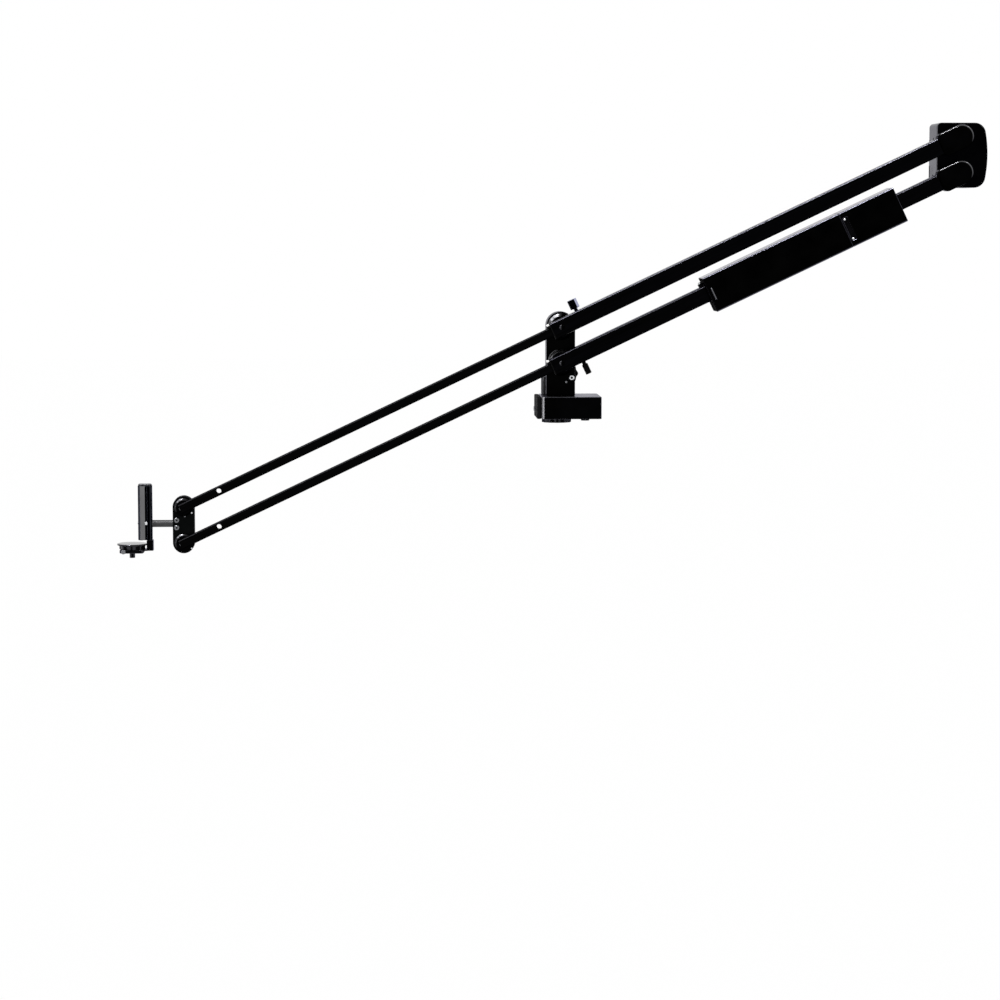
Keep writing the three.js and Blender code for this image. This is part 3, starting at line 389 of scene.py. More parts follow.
post_black = anodised_aluminium("post, milled black anodised aluminium", "#020202", "#050505", "#c8c8d0",
                                0.26, "#060607")
block_black = anodised_aluminium("foot block, blasted black anodised aluminium", "#2a2a2b", "#343435",
                                 "#9a9aa0", 0.4, "#3a3a3c")
steel_bright = turned_steel("bright steel screws", "#e2e4e6", "#bcbec1", 0.2, axis="Y")
# The lock block is black; its pale faces, where they turn from the eye, are a painted sheen.
block_painted_sheen = anodised_aluminium("lock block, black anodised aluminium with painted sheen", "#020203", "#050507",
                                    "#c9cbe0", 0.2, "#aeb0c6", 0.28, 0.42)
knob_plastic = moulded_plastic("hand knobs, moulded black nylon", "#020202", "#050506", 0.5, 1.1, 0.03)
bare_steel = turned_steel("pivot pins, ground steel", "#8f9194", "#75777a", 0.28, axis="Y")

make("post_body", prism(arch(-18.25, 30.25, 45.5, 162.7), "Y", -18, 18), level, post_black, "turret",
     ["post"], edge=1.3,
     holes=[moved(turned([(-20, 6.3), (20, 6.3)], "Y"), 6, 0, 101.9),
            moved(turned([(-20, 6.3), (20, 6.3)], "Y"), 6, 0, 161.9)])
make("post_foot_block_milled", prism(rounded_rect(-23.75, 18.3, 1.25, 45.8, 5), "Z", 45.5, 76), level,
     block_black, "turret", ["post_foot_block"], edge=1.0)
refinish(bare_steel, "lower_pivot_shaft", "upper_pivot_shaft")
make("post_socket_screw",
     [turned([(-2.4, 0), (-2.4, 3.7), (-1.8, 4.5), (-0.2, 4.6), (0, 4.4), (0, 0)], "Y", 48)],
     Matrix.Translation((0.0245, -0.0183, 0.076)), steel_bright, "turret",
     ["tilt_clamp_bolt"], holes=[prism(hexagon(4), "Y", -4, -0.4)])
# A dark hex sheet at the floor of the screw's socket: painted shade.
make("post_socket_screw_painted_shade", prism(hexagon(3.9), "Y", -0.7, -0.4),
     Matrix.Translation((0.0245, -0.0183, 0.076)), screw_black, "turret")
make("post_small_screw", turned([(-0.4, 0), (-0.4, 1.7), (-0.1, 2.0), (0.5, 2.0), (0.5, 0)], "Y", 32),
     Matrix.Translation((0.0152, -0.018, 0.0687)), screw_grey, "turret",
     holes=[prism(hexagon(1.9), "Y", -2, -0.1)])
make("tilt_lock_hand_knob", [prism(circle(18, 144, 8, 2), "Y", 3, 15), prism(circle(9), "Y", 0, 4.4),
                             prism(circle(3, 32), "Y", -12, 0.3)],
     Matrix.Translation((0.0204, 0.0183, 0.081)), knob_plastic, "tilt_lock", ["tilt_lock_knob"],
     edge=1.4)


# ---------------------------------------------------------------------------------------------
# The two arms' outer tubes: drawn aluminium box tubes, black, each on a turned hub with a cone round
# its rim that carries a painted highlight, with a domed cap over the pivot, slides in its mouth and a
# milled end lug.
# ---------------------------------------------------------------------------------------------
along = Vector(joints["lower_extend"]["axis"])
upward = along.cross(Vector((0, 1, 0)))
front_reach, rear_reach, pivot_gap = 703, 741, 60  # mm, from the post's pivots and between the arms
lock_along = 34  # mm from the post's pivots to the tube locks
pin_radius, pin_room = 6.3, 9.3  # mm, holes for a shaft and for a bush


def cone_round_the_rim(normal):
    return -0.97 < normal.y < -0.4


def on_arm(joint, forward=0.0, up=0.0):
    """Frame of an arm, X along the tube from the post's pivot, moved by millimetres along and up it."""
    pivot = Vector(joints[joint]["pos_m"]) + along * forward / 1000 + upward * up / 1000
    frame_of_arm = Matrix((along, Vector((0, 1, 0)), upward)).transposed().to_4x4()
    return Matrix.Translation(pivot) @ frame_of_arm


def drawn_tube(name, deep, pale, rim, roughness, sheen):
    """Drawn aluminium tube, anodised black: long faint lines from the die along the tube, drawn
    1.2 mm apart where the real ones are closer, and a little play in its gloss. Its painted sheen
    lies on the upper side only, where the overhead light falls."""
    finish = new_finish(name)
    where = add_node(finish, "ShaderNodeTexCoord", {}).outputs["Object"]
    stretched = add_node(finish, "ShaderNodeMapping", {"Vector": where, "Scale": (0.012, 1.0, 1.0)})
    lines = add_node(finish, "ShaderNodeTexNoise", {
        "Vector": stretched.outputs["Vector"], "Scale": per_mm(1.2), "Detail": 3.0})
    clouds = add_node(finish, "ShaderNodeTexNoise", {"Vector": where, "Scale": per_mm(60), "Detail": 2.0})
    colour = ramp(finish, lines.outputs["Fac"], 0.35, deep, 0.7, pale)
    bumps = add_node(finish, "ShaderNodeBump", {
        "Height": lines.outputs["Fac"], "Strength": 0.06, "Distance": 0.00002})
    metal = add_node(finish, "ShaderNodeBsdfPrincipled", {
        "Base Color": with_painted_sheen(finish, colour, sheen, share=lit_upper_side(finish)), "Metallic": 1.0,
        "Roughness": spread(finish, clouds.outputs["Fac"], roughness - 0.03, roughness + 0.03),
        "Specular Tint": linear(rim), "Normal": bumps.outputs["Normal"]})
    add_node(finish, "ShaderNodeOutputMaterial", {"Surface": metal.outputs["BSDF"]})
    return finish


# One tube material in two copies: the lower tube's copy has a darker rim tint and sheen, painted shade.
upper_black = drawn_tube("upper outer tube, drawn black anodised aluminium", "#030303", "#060608",
                         "#ffffff", 0.21, "#34343a")
lower_black = drawn_tube("lower outer tube, drawn black anodised aluminium", "#030303", "#060608",
                         "#b8b8c2", 0.25, "#202024")
hub_black = anodised_aluminium("hubs, turned black anodised aluminium", "#020203", "#060607", "#9a9aa2",
                               0.28, "#18181a")
# The hub rims are pale on their upper left, a painted highlight, and deep black elsewhere; the lower hub's
# rim is a lighter copy, painted light where the upper tube shades it from the lamps.
rim_painted_highlight = anodised_aluminium("hub rims, turned and polished black anodised aluminium", "#4c4c4e",
                                  "#565658", "#9a9aa0", 0.22, "#020202", depth=0.002, bright=(-0.6, 0, 0.8),
                                  reach=(0.22, 0.56))
lower_rim_painted_highlight = anodised_aluminium("lower hub rim, turned satin black anodised aluminium", "#78787a", "#828284",
                               "#9a9aa0", 0.22, "#020202", depth=0.002, bright=(-0.5, 0, 0.87),
                               reach=(0.1, 0.56))
# The front hub rims are lighter on their upper side, a painted highlight; their speckle is the blasted
# grain.
rim_speckled = anodised_aluminium("front hub rims, turned and blasted black anodised aluminium", "#2c2c2e",
                                  "#464648", "#9a9aa0", 0.18, "#020202", grain=1.8, depth=0.1,
                                  bright=(-0.34, 0, 0.94))
lug_black = anodised_aluminium("end lugs, milled black anodised aluminium", "#020202", "#050506", "#6a6a70",
                               0.24, "#101012")
# The lug edges are pale on their upper side, a painted highlight, and deep black elsewhere.
lug_edge_painted_highlight = anodised_aluminium("end lug edges, polished black anodised aluminium", "#58585a", "#646466",
                              "#9a9aa0", 0.18, "#020202", depth=0.001, bright=(0.62, 0, 0.78))
# The pivot caps are grey on their left side, a painted highlight, and deep black elsewhere.
cap_dark = anodised_aluminium("pivot caps, turned dark anodised aluminium", "#343437", "#3e3e41", "#9a9aa0",
                              0.3, "#020202", bright=(-0.9, 0, 0.43))
bronze = turned_steel("bushes, sintered bronze", "#a9834e", "#8d6b3d", 0.42, axis="Y")
nylon_black = moulded_plastic("slide bushes, moulded black nylon", "#040404", "#080809", 0.5, 1.1, 0.05)
nylon_white = moulded_plastic("slide pads, machined white acetal", "#e9e9e8", "#f4f4f3", 0.35, 0.8, 0.5)

arms = (("lower", "arm_tilt"), ("upper", "upper_arm_tilt"))
outer_section = rounded_rect(-12.5, -14.1, 12.5, 14.1, 3.5)
mouth_opening = rounded_rect(-7.3, -8, 7.3, 8, 2.4)
lug_outline = [(701.3, -14.1), (rear_reach - 33.7, -19.8)]
lug_outline += [(rear_reach + 19.8 * sin(pi * i / 48), -19.8 * cos(pi * i / 48)) for i in range(49)]
lug_outline += [(rear_reach - 33.7, 19.8), (701.3, 14.1)]
for arm, joint in arms:
    place = on_arm(joint)
    # The lower arm takes the lighter copy of the hub rim's painted highlight and the darker copy of the
    # tube finish, painted shade.
    tube_finish, rim_finish, lock_low, lock_high = (
        (upper_black, rim_painted_highlight, 10, 16) if arm == "upper" else (lower_black, lower_rim_painted_highlight, -16, -10))
    make(arm + "_outer_tube", prism(outer_section, "X", -16, 701), place, tube_finish, arm + "_arm",
         [arm + "_rear_tube"], edge=0.35,
         holes=[prism(rounded_rect(-10, -11.6, 10, 11.6, 1), "X", -17, 702),
                moved(prism(circle(2.8, 32), "Z", lock_low, lock_high), lock_along)])
    hub_profile = [(12.8, pin_room), (12.8, 17.5), (12.95, 17.9), (14.35, 19.9), (15.75, 21.9),
                   (16.2, 22.3), (16.9, 22.5), (19.7, 22.5), (20.5, 21.7), (20.8, 20.9), (20.8, pin_room)]
    make(arm + "_turned_hub", turned(hub_profile, "Y", 128, bored=True), place, hub_black, arm + "_arm",
         [arm + "_hub"], sharp=50, trim=rim_finish, on=cone_round_the_rim)
    refinish(bronze, arm + "_hub_bush")
    make(arm + "_pivot_dome",
         [turned([(-14.6, 0), (-14.55, 1.0), (-14.4, 1.9), (-14.15, 2.8), (-13.8, 3.6), (-13.35, 4.3),
                  (-12.9, 4.6), (-12.7, 4.6), (-12.7, 0)], "Y", 48)],
         place, cap_dark, arm + "_arm", [arm + "_pivot_cap"], sharp=60)
    flange = prism(outer_section, "X", -17.9, -16.3)
    sleeve = prism(rounded_rect(-9.7, -11.3, 9.7, 11.3, 1), "X", -16.6, 16)
    make(arm + "_mouth_slide_bush", [flange, sleeve], place, nylon_black, arm + "_arm",
         [arm + "_mouth_bush"], edge=0.1, holes=[prism(mouth_opening, "X", -20, 20)])
    refinish(nylon_white, arm + "_tail_bush")
    make(arm + "_mouth_wiper", prism(rounded_rect(-11, 8.0, 11, 11.2, 0.5, 4), "X", -22.8, -17.6), place,
         nylon_black, arm + "_arm", edge=0.4)
    make(arm + "_mouth_slide_pad", prism(rounded_rect(-10.5, 11.3, 10.5, 13.9, 0.5, 4), "X", -22.4, -17.6),
         place, nylon_white, arm + "_arm", edge=0.4)
    make(arm + "_end_lug", [prism(lug_outline, "Y", -12.5, 12.5)], place, lug_black, arm + "_arm",
         [arm + "_knuckle"], edge=3.2, sharp=20, trim=lug_edge_painted_highlight, upright=True,
         holes=[moved(prism(circle(pin_radius), "Y", -4.5, 14), rear_reach)])


# ---------------------------------------------------------------------------------------------
# Locks of the telescopic tubes: a turned square block of black anodised aluminium, whose faces that turn
# from the eye carry a painted sheen, on a neck over the upper tube, and a fluted round grip of moulded
# black nylon under the lower one.
# ---------------------------------------------------------------------------------------------
place = on_arm("upper_arm_tilt", lock_along)
block_turn = Matrix.Rotation(radians(-33), 4, "Z")
block = prism(rounded_rect(-7, -4.75, 7, 4.75, 1.2, 4), "Z", 18.4, 34.4)
block.transform(block_turn)
make("upper_lock_turned_block",
     [block, prism(circle(3.4, 48), "Z", 14.4, 19), prism(circle(2.5, 32), "Z", 8, 15)],
     place, block_painted_sheen, "upper_tube_lock", ["upper_lock_knob"], edge=0.6)
place = on_arm("arm_tilt", lock_along)
make("lower_lock_fluted_grip",
     [prism(circle(5, 96, 8, 0.5), "Z", -36, -18.4), prism(circle(3.4, 48), "Z", -19, -14.4),
      prism(circle(2.5, 32), "Z", -15, -8)],
     place, knob_plastic, "lower_tube_lock", ["lower_lock_knob"], edge=0.8)


# ---------------------------------------------------------------------------------------------
# The two thin tubes in front, that slide in the outer ones: drawn aluminium, anodised black, with
# a cross hole behind the front pivot and a small turned hub on the back of each front end.
# ---------------------------------------------------------------------------------------------
thin_black = drawn_tube("inner tubes, drawn black anodised aluminium", "#040404", "#080809", "#66666e", 0.4,
                        "#1c1c1e")
for arm, joint in arms:
    make(arm + "_inner_tube", prism(rounded_rect(-7, -7.7, 7, 7.7, 2.4), "X", -5 - front_reach, 108),
         on_arm(joint), thin_black, arm + "_front", [arm + "_front_tube"], edge=0.3,
         holes=[prism(rounded_rect(-5, -5.7, 5, 5.7, 0.4), "X", -684, 109),
                moved(prism(circle(4.25, 48), "Y", -9, 9), 67 - front_reach)])
    front_profile = [(7.3, 7.3), (7.3, 11.9), (7.45, 12.3), (8.35, 13.6), (9.25, 14.9), (9.6, 15.1),
                     (10.1, 15.2), (13.4, 15.2), (14.4, 14.7), (14.8, 13.9), (14.8, 4.3), (10.4, 4.3),
                     (10.4, 7.3)]
    make(arm + "_front_turned_hub", turned(front_profile, "Y", 96, bored=True), on_arm(joint, -front_reach),
         hub_black, arm + "_front", [arm + "_front_hub"], sharp=50, trim=rim_speckled,
         on=cone_round_the_rim)


# ---------------------------------------------------------------------------------------------
# Counterweight: two extruded aluminium cases round the lower outer tube, a screwed strip over
# their joint, steel bars inside, and the small clamp with its screw that holds the place.
# ---------------------------------------------------------------------------------------------
case_black = anodised_aluminium("counterweight cases, black anodised aluminium", "#010101", "#040404",
                                "#fbfaff", 0.2, "#4a4a54")
case_end = anodised_aluminium("case ends, sawn and blasted black anodised aluminium", "#020202", "#050505",
                              "#1c1c1f", 0.5, "#060607")
strip_black = anodised_aluminium("joint strip, black anodised aluminium", "#060607", "#0b0b0c", "#6a6a70",
                                 0.3, "#161618")
bar_steel = turned_steel("weight bars, sawn steel", "#55575a", "#3f4144", 0.55)
case_place = on_arm("arm_tilt")
case_low, case_high, seam, strip_along = -33.5, 27.8, 522, 528.7  # mm in the lower arm's frame
middle = (case_high + case_low) / 2
case_section = rounded_rect(-30, case_low, 30, case_high, 2.6)
case_room = rounded_rect(-27, case_low + 3, 27, case_high - 3, 0.5)
tube_passage = rounded_rect(-12.8, -14.4, 12.8, 14.4, 3.5)


def sawn_end(normal):
    return normal.x < -0.99


make("counterweight_long_case", prism(case_section, "X", 270.5, seam), case_place, case_black,
     "counterweight", ["counterweight_case"], edge=0.8, trim=case_end, on=sawn_end,
     holes=[prism(case_room, "X", 273.5, seam - 3), prism(tube_passage, "X", 260, 530),
            prism(rounded_rect(276.9, middle - 10.5, 278.5, middle + 10.5, 0.7, 4), "Y", -31, -28.8)])
make("counterweight_short_case", prism(case_section, "X", seam + 0.3, 622.6), case_place, case_black,
     "counterweight", ["counterweight_end_case"], edge=0.8, trim=case_end, on=sawn_end,
     holes=[prism(case_room, "X", 525.3, 619.6), prism(tube_passage, "X", 515, 630),
            prism(rounded_rect(524.4, middle - 20.3, 533, middle + 20.3, 1.5, 4), "Y", -31, -28.5)])
make("counterweight_strip",
     prism(rounded_rect(524.7, middle - 20, 532.7, middle + 20, 1.5, 4), "Y", -29.7, -28.8), case_place,
     strip_black, "counterweight", ["counterweight_joint_strip"], edge=0.25,
     holes=[prism(rounded_rect(strip_along - 1, middle - 7, strip_along + 1, middle + 7, 0.9, 4),
                  "Y", -31, -29.4)])
for up in (-17.5, 17.5):
    make("counterweight_strip_screw_" + ("low" if up < 0 else "high"),
         turned([(-0.5, 0), (-0.5, 1.3), (-0.2, 1.7), (0.6, 1.7), (0.6, 0)], "Y", 32),
         on_arm("arm_tilt", strip_along - 1.4, middle + up) @ Matrix.Translation((0, -0.0295, 0)),
         steel_bright, "counterweight")
refinish(bar_steel, "weight_bar_near", "weight_bar_far")
# A grey strip set in the case's groove near its left end stands in for the light on the groove's edge: a
# painted highlight.
make("counterweight_groove_painted_highlight",
     prism(rounded_rect(277.0, middle - 10.3, 278.4, middle + 10.3, 0.6, 4), "Y", -29.9, -28.7),
     case_place, screw_grey, "counterweight", edge=0.15)
make("weight_slide_clamp", prism(rounded_rect(262.2, -7.5, 270.2, 7.5, 1.5, 4), "Z", 14.4, 19.4),
     case_place, strip_black, "counterweight", ["slide_clamp"], edge=0.5,
     holes=[moved(prism(circle(1.9, 24), "Z", 14, 21), 266.2, 0, 0)])
make("weight_clamp_screw",
     [turned([(19.7, 0), (19.7, 3.0), (20.0, 3.3), (21.7, 3.3), (22.3, 2.8), (22.3, 0)], "Z", 48),
      turned([(14.4, 1.6), (20, 1.6)], "Z", 24)],
     on_arm("arm_tilt", 266.2), steel_bright, "weight_lock", ["slide_clamp_screw"],
     holes=[prism(hexagon(2.5), "Z", 20.8, 24)])


# ---------------------------------------------------------------------------------------------
# Front head: one thick milled plate, round at both ends, that hangs on the two front pins; two
# clamp screws pinch it round the head rod, and small screws show on its face.
# ---------------------------------------------------------------------------------------------
front = Vector(joints["front_head_level"]["pos_m"])
head_place = Matrix.Translation((front.x, 0, front.z))
rod_y, rod_up, seat_x = -14, 31.4, -87  # mm from the lower front pivot: the head rod and the seat's axis


def on_head(x, y, z):
    return head_place @ Matrix.Translation((x / 1000, y / 1000, z / 1000))


def long_round(radius, height, steps=40):
    low = [(radius * cos(pi + pi * i / steps), radius * sin(pi + pi * i / steps)) for i in range(steps + 1)]
    high = [(radius * cos(pi * i / steps), height + radius * sin(pi * i / steps)) for i in range(steps + 1)]
    return low + high


plate_black = anodised_aluminium("front plate, milled black anodised aluminium", "#080909", "#0e0f0f",
                                 "#77777f", 0.36, "#141416")
rod_steel = turned_steel("head rod, ground steel", "#4e4e4f", "#3c3c3d", 0.4, axis="X")
make("front_plate_milled", prism(long_round(18.2, 60), "Y", -24, -4), head_place, plate_black, "front_head",
     ["front_plate"], edge=0.8,
     holes=[moved(prism(circle(pin_radius), "X", -20, 4.1), 0, rod_y, rod_up),
            prism(circle(4.3, 48), "Y", -26, -2),
            moved(prism(circle(4.3, 48), "Y", -26, -2), 0, 0, pivot_gap)])
refinish(bare_steel, "lower_front_pin", "upper_front_pin")
for name, up in (("lower", -6.25), ("upper", 6.25)):
    make("rod_clamp_socket_screw_" + name,
         [turned([(-1.8, 0), (-1.8, 3.7), (-1.4, 4.2), (0, 4.3), (0, 0)], "Y", 48)],
         on_head(-11.3, -24.3, rod_up + up), screw_grey, "front_head",
         ["rod_clamp_screw_" + name], holes=[prism(hexagon(3.2), "Y", -3, -0.7)])
    # A dark hex sheet at the floor of each screw's socket: painted shade.
    make("rod_clamp_socket_painted_shade_" + name, prism(hexagon(3.1), "Y", -0.9, -0.7),
         on_head(-11.3, -24.3, rod_up + up), screw_black, "front_head")
for name, x, z, radius, finish in (("top", 13.8, 50.1, 1.4, steel_bright),
                                   ("foot", 13.2, -9.7, 1.4, steel_bright),
                                   ("middle", 2.2, 44.3, 1.5, screw_grey)):
    make("front_plate_set_screw_" + name,
         turned([(-0.5, 0), (-0.5, radius - 0.3), (-0.2, radius), (0.5, radius), (0.5, 0)], "Y", 32),
         on_head(x, -24.0, z), finish, "front_head")


# ---------------------------------------------------------------------------------------------
# Grip: a ground steel rod that turns in the front plate, and the upright column on it, a black
# aluminium extrusion of two lobes with a grey strip in its left lobe, a painted reflection, a grey end
# cap whose grey is a painted reflection too, and its foot bracket.
# ---------------------------------------------------------------------------------------------
def column_outline(left, right, near, far, corner, groove, dip, steps=8):
    """Two round lobes side by side with a groove between them on the near and the far face."""
    centre = (left + right) / 2

    def corner_points(x, y, start):
        return [(x + corner * cos(radians(start + 90 * i / steps)),
                 y + corner * sin(radians(start + 90 * i / steps))) for i in range(steps + 1)]

    points = [(centre - groove / 2 + 0.4, near + dip), (centre + groove / 2 - 0.4, near + dip),
              (centre + groove / 2, near)]
    points += corner_points(right - corner, near + corner, -90)
    points += corner_points(right - corner, far - corner, 0)
    points += [(centre + groove / 2, far), (centre + groove / 2 - 0.4, far - dip),
               (centre - groove / 2 + 0.4, far - dip), (centre - groove / 2, far)]
    points += corner_points(left + corner, far - corner, 90)
    points += corner_points(left + corner, near + corner, 180)
    return points + [(centre - groove / 2, near)]


column_black = anodised_aluminium("grip column, black anodised extrusion", "#000001", "#020203", "#8a8a96",
                                  0.28, "#303238", 0.06, 0.16)
# The grey strip on the left lobe is a painted reflection of a light at the left.
column_strip_painted_reflection = anodised_aluminium("column strip, grey painted reflection", "#646465", "#707071",
                                 "#b0b0b4", 0.42, "#101010")
column_cap_painted_reflection = anodised_aluminium("column end cap, grey painted reflection", "#464648", "#545456",
                              "#f0f0f4", 0.34, "#101010")
bracket_black = anodised_aluminium("foot bracket, black anodised aluminium", "#030304", "#08080b",
                                   "#c4c3d2", 0.3, "#2a2c31")
make("head_rod_ground",
     turned([(-67.7, 0), (-67.7, 5.5), (-67.2, 6), (3.3, 6), (3.8, 5.5), (3.8, 0)], "X", 72),
     on_head(0, rod_y, rod_up), rod_steel, "grip", ["head_rod"])
make("grip_column_extruded", prism(column_outline(-76.5, -52.7, -24.5, -3.5, 6.5, 7, 2.6), "Z", 4, 96),
     head_place, column_black, "grip", ["grip_column"], edge=0.8,
     holes=[moved(prism(circle(pin_radius), "X", -68, -50), 0, rod_y, rod_up)])
make("grip_column_painted_reflection_strip",
     prism([(-72.3, -24.7), (-64.4, -24.7), (-64.4, -22.5), (-72.3, -22.5)], "Z", 4.8, 95.4), head_place,
     column_strip_painted_reflection, "grip", edge=0.3)
# The column's top is real; its grey end cap is a painted reflection of the light on that top.
make("grip_column_end_cap",
     prism(column_outline(-75.9, -53.3, -23.9, -4.1, 6.2, 6.4, 2.2), "Z", 95.7, 98.6), head_place,
     column_cap_painted_reflection, "grip", edge=1.6)
make("grip_column_side_screw", turned([(-1.3, 0), (-1.3, 1.6), (-0.9, 2.2), (0.5, 2.2), (0.5, 0)], "X", 40),
     on_head(-76.5, rod_y, rod_up + 1.2), steel_bright, "grip")
make("grip_column_screw", turned([(-1.2, 0), (-1.2, 2.3), (-0.8, 2.75), (0.9, 2.75), (0.9, 0)], "Y", 40),
     on_head(-62.85, -23.4, rod_up + 1.2), steel_bright, "grip",
     holes=[prism(hexagon(2.2), "Y", -2, -0.6)])
bracket_block = prism(rounded_rect(-65.7, -22.5, -51.3, -5.5, 0.8, 4), "Z", -13.8, 3.7)
bracket_plate = prism(rounded_rect(-105, -25, -60.5, -3, 0.3, 2), "Z", -13.8, -11.4)
make("foot_bracket_milled", [bracket_plate, bracket_block], head_place, bracket_black, "grip",
     ["foot_bracket"], edge=0.4,
     holes=[moved(prism(circle(26.1, 96), "Z", -11.4, 5), seat_x, rod_y),
            moved(prism(circle(5, 40), "Z", -15, -10), seat_x, rod_y)])


# ---------------------------------------------------------------------------------------------
# Tie-down knob with its stud, and the seat that a remote head is drawn up against: a thin turned
# plate over a lobed hand grip, and a milled block slotted for the bracket, with its lock screw.
# ---------------------------------------------------------------------------------------------
wheel_black = anodised_aluminium("tie-down knob, turned black anodised aluminium", "#040405", "#0b0b0c",
                                 "#ffffff", 0.14, "#303034")
seat_black = anodised_aluminium("head seat, milled black anodised aluminium", "#060607", "#0c0c0e",
                                "#77777f", 0.34)
disc_profile = [(-4.9, 0), (-4.9, 24.6), (-4.2, 25.3), (-2.6, 25.3), (-2.1, 24.9), (-1.9, 24.2), (-1.9, 0)]
make("tie_down_hand_knob",
     [turned(disc_profile, "Z", 128), prism(circle(21.8, 160, 8, 3), "Z", -11.1, -4.2),
      turned([(-26.3, 4.3), (-25.9, 4.7), (-10, 4.7)], "Z", 48)],
     on_head(seat_x, rod_y, 0), wheel_black, "tie_down", ["tie_down_knob"], sharp=28)
make("head_seat_milled", prism(rounded_rect(-107.2, -34, -66.8, 6, 6), "Z", -17.3, -11.4), head_place,
     seat_black, "grip", ["camera_seat"], edge=1.4,
     holes=[prism(rounded_rect(-105.3, -25.3, -65, -2.7, 0.3, 2), "Z", -14.1, -10),
            moved(prism(circle(5, 40), "Z", -19, -10), seat_x, rod_y)])
make("seat_lock_thumb_screw",
     [turned([(-4.6, 0), (-4.6, 3.1), (-4.1, 3.6), (-0.4, 3.6), (0, 3.3), (0, 0)], "Y", 40),
      turned([(-0.5, 1.5), (7, 1.5)], "Y", 24)],
     on_head(-100.2, -34.3, -14.3), screw_grey, "seat_lock", ["seat_lock_screw"])


# ---------------------------------------------------------------------------------------------
# Rear head: a plate on the two rear pins and the deep housing behind it, of milled aluminium,
# anodised black, with round corners, a slight bulge to its back, two screw plugs and two dark strips
# on its left face, painted shade of a gap.
# ---------------------------------------------------------------------------------------------
rear = Vector(joints["rear_head_level"]["pos_m"])
rear_place = Matrix.Translation((rear.x, 0, rear.z))


def rear_outline(inset, steps=12):
    left, right, low, high = -37.2 + inset, 45 - inset, -25.4 + inset, 83.2 - inset
    small, large, bulge = 7.0, 19.0 - inset, 3.5
    quarter = pi / 2

    def arc(x, y, radius, start, end):
        return [(x + radius * cos(start + (end - start) * i / steps),
                 y + radius * sin(start + (end - start) * i / steps)) for i in range(steps + 1)]

    lower_end = arc(right - large, low + large, large, -quarter, -quarter / 6)
    upper_end = arc(right - large, high - large, large, quarter / 6, quarter)
    a, b = Vector(lower_end[-1]), Vector(upper_end[0])
    pull = Vector((right + 2 * bulge, (low + high) / 2))
    back = []
    for i in range(1, 24):
        t = i / 24
        spot = a * (1 - t) ** 2 + pull * 2 * t * (1 - t) + b * t ** 2
        back.append((spot.x, spot.y))
    return (lower_end + back + upper_end + arc(left + small, high - small, small, quarter, 2 * quarter)
            + arc(left + small, low + small, small, 2 * quarter, 3 * quarter))


rear_black = anodised_aluminium("rear head, milled black anodised aluminium", "#010102", "#040405",
                                "#e4e4ea", 0.24, "#101012")
make("rear_head_plate", prism(rear_outline(0), "Y", -26.3, -20.3), rear_place, rear_black, "rear_head",
     ["rear_plate"], edge=1.2,
     holes=[prism(circle(pin_radius), "Y", -28, -18),
            moved(prism(circle(pin_radius), "Y", -28, -18), 0, 0, pivot_gap)])
make("rear_head_housing", prism(rear_outline(0), "Y", -20, 46), rear_place, rear_black, "rear_head",
     ["rear_housing"], edge=1.2, holes=[prism(rear_outline(3), "Y", -21, 43)])
for name, y, z in (("high", 10.0, 57.0), ("low", 12.0, -4.5)):
    make("rear_head_screw_plug_" + name,
         turned([(-0.4, 0), (-0.4, 1.5), (-0.1, 1.9), (0.6, 1.9), (0.6, 0)], "X", 32),
         rear_place @ Matrix.Translation((-0.0372, y / 1000, z / 1000)), nylon_black, "rear_head")
# Dark nylon strips on the left face stand in for the shade of a gap there: painted shade.
for name, low, high in (("high", 40, 56), ("low", -13, 12.7)):
    make("rear_head_painted_shade_strip_" + name,
         prism(rounded_rect(39.2, low, 44.6, high, 1.5, 4), "X", -37.5, -36.6), rear_place, nylon_black,
         "rear_head", edge=0.2)
refinish(bare_steel, "lower_rear_pin", "upper_rear_pin")


# ---------------------------------------------------------------------------------------------
# Studio: a plain white floor well below, a white surround, five far softboxes over the tubes, to
# the left and over the right end, and the camera at the photograph's angle.
# ---------------------------------------------------------------------------------------------
def seen_directly(finish):
    """1 for the camera's own rays, reflections and rays through glass, 0 for light on the object."""
    ray = add_node(finish, "ShaderNodeLightPath", {})
    first = add_node(finish, "ShaderNodeMath",
                     {0: ray.outputs["Is Camera Ray"], 1: ray.outputs["Is Glossy Ray"]},
                     operation="MAXIMUM")
    return add_node(finish, "ShaderNodeMath", {0: first.outputs[0], 1: ray.outputs["Is Transmission Ray"]},
                    operation="MAXIMUM").outputs[0]


paper = new_finish("floor, white seamless paper")
glow = add_node(paper, "ShaderNodeEmission", {"Color": linear("#ffffff"), "Strength": 0.74})
bare = add_node(paper, "ShaderNodeBsdfDiffuse", {"Color": linear("#ffffff")})
dim = add_node(paper, "ShaderNodeBsdfDiffuse", {"Color": linear("#898989")})
both = add_node(paper, "ShaderNodeAddShader", {0: glow.outputs[0], 1: dim.outputs[0]})
chosen = add_node(paper, "ShaderNodeMixShader",
                  {0: seen_directly(paper), 1: bare.outputs[0], 2: both.outputs[0]})
add_node(paper, "ShaderNodeOutputMaterial", {"Surface": chosen.outputs[0]})
floor_shape = bpy.data.meshes.new("floor")
far, below = 30, -1.3  # metres
corners = [(-far, -far, below), (far, -far, below), (far, far, below), (-far, far, below)]
floor_shape.from_pydata(corners, [], [(0, 1, 2, 3)])
floor = bpy.data.objects.new("floor", floor_shape)
bpy.context.scene.collection.objects.link(floor)
floor_shape.materials.append(paper)

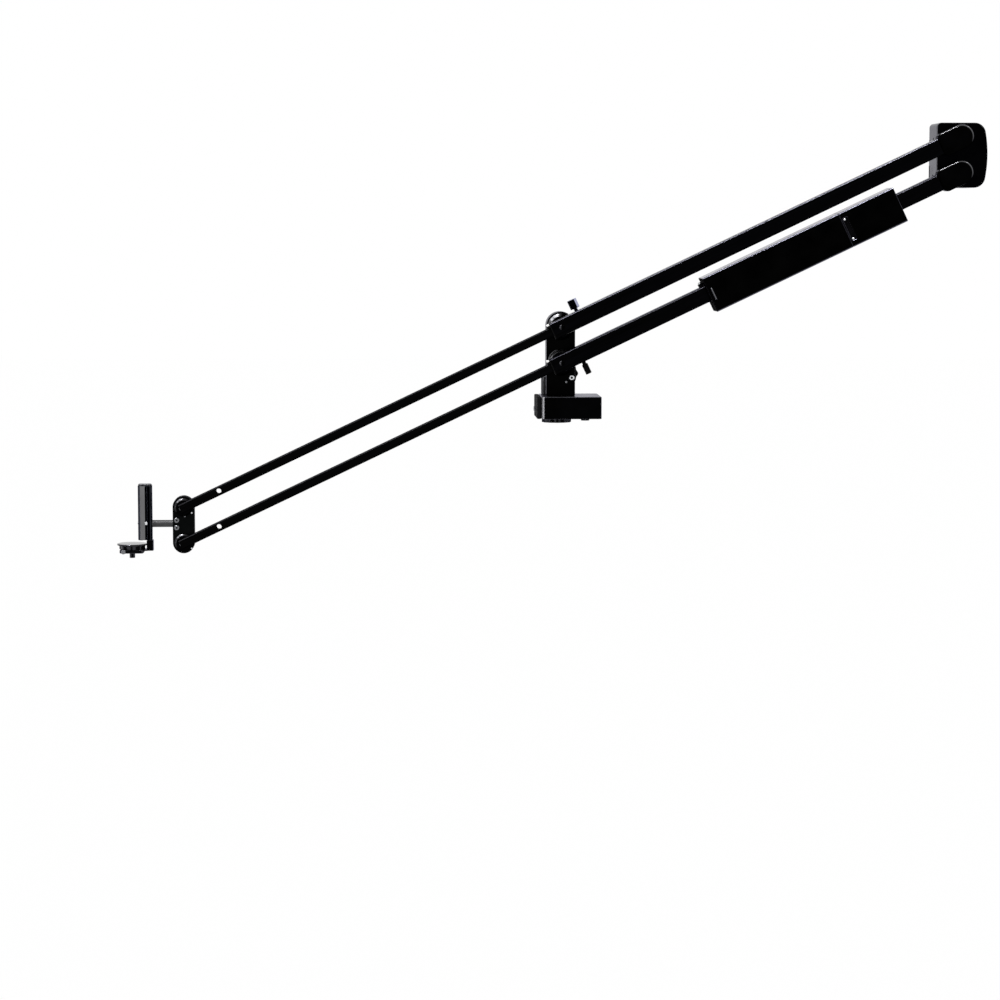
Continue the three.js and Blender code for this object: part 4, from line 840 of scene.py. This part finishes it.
world = bpy.data.worlds.new("white surround")
bpy.context.scene.world = world
world.use_nodes = True
world.node_tree.nodes.clear()
around = add_node(world, "ShaderNodeBackground", {"Color": linear("#ffffff"), "Strength": 0.12})
backdrop = add_node(world, "ShaderNodeBackground", {"Color": linear("#ffffff"), "Strength": 1.0})
either = add_node(world, "ShaderNodeMixShader",
                  {0: seen_directly(world), 1: around.outputs[0], 2: backdrop.outputs[0]})
add_node(world, "ShaderNodeOutputWorld", {"Surface": either.outputs[0]})


def softbox(name, toward, strength, width):
    """A far softbox: light from one side, as wide as that many degrees."""
    light = bpy.data.lights.new(name, "SUN")
    light.energy = strength
    light.angle = radians(width)
    lamp = bpy.data.objects.new(name, light)
    bpy.context.scene.collection.objects.link(lamp)
    lamp.rotation_euler = Vector(toward).to_track_quat("Z", "Y").to_euler()


softbox("softbox over the rear tubes", (-0.24, -0.34, 0.92), 1.5, 6)
softbox("softbox over the front tubes", (-0.42, -0.34, 0.84), 1.0, 16)
softbox("softbox high on the left", (-0.70, -0.40, 0.60), 0.7, 16)
softbox("softbox left in front", (-0.75, -0.66, 0.01), 0.6, 9)
softbox("softbox over the right", (0.62, -0.30, 0.72), 0.3, 9)

turn, dip = radians(2.6), radians(5.5)  # the eye looks a little to the right and down
forward = Vector((cos(dip) * sin(turn), cos(dip) * cos(turn), -sin(dip)))
sideways = forward.cross(Vector((0, 0, 1))).normalized()
overhead = sideways.cross(forward)
picture_px, focal_px = 1000, 2900
seen_at = (61.5, -137.5)  # the aim's place in the picture, pixels right of and below its middle
aim, away = Vector((0.005, -0.0516, 0.10315)), 4.849  # metres
view = bpy.data.cameras.new("camera")
view.sensor_width = 36
view.lens = focal_px * view.sensor_width / picture_px
view.clip_end = 100
camera = bpy.data.objects.new("camera", view)
bpy.context.scene.collection.objects.link(camera)
sight = forward + sideways * seen_at[0] / focal_px - overhead * seen_at[1] / focal_px
stand = aim - sight * away
pointing = Matrix((sideways, overhead, -forward)).transposed().to_4x4()
camera.matrix_world = Matrix.Translation(stand) @ pointing
bpy.context.scene.camera = camera
bpy.context.scene.view_settings.view_transform = "Standard"
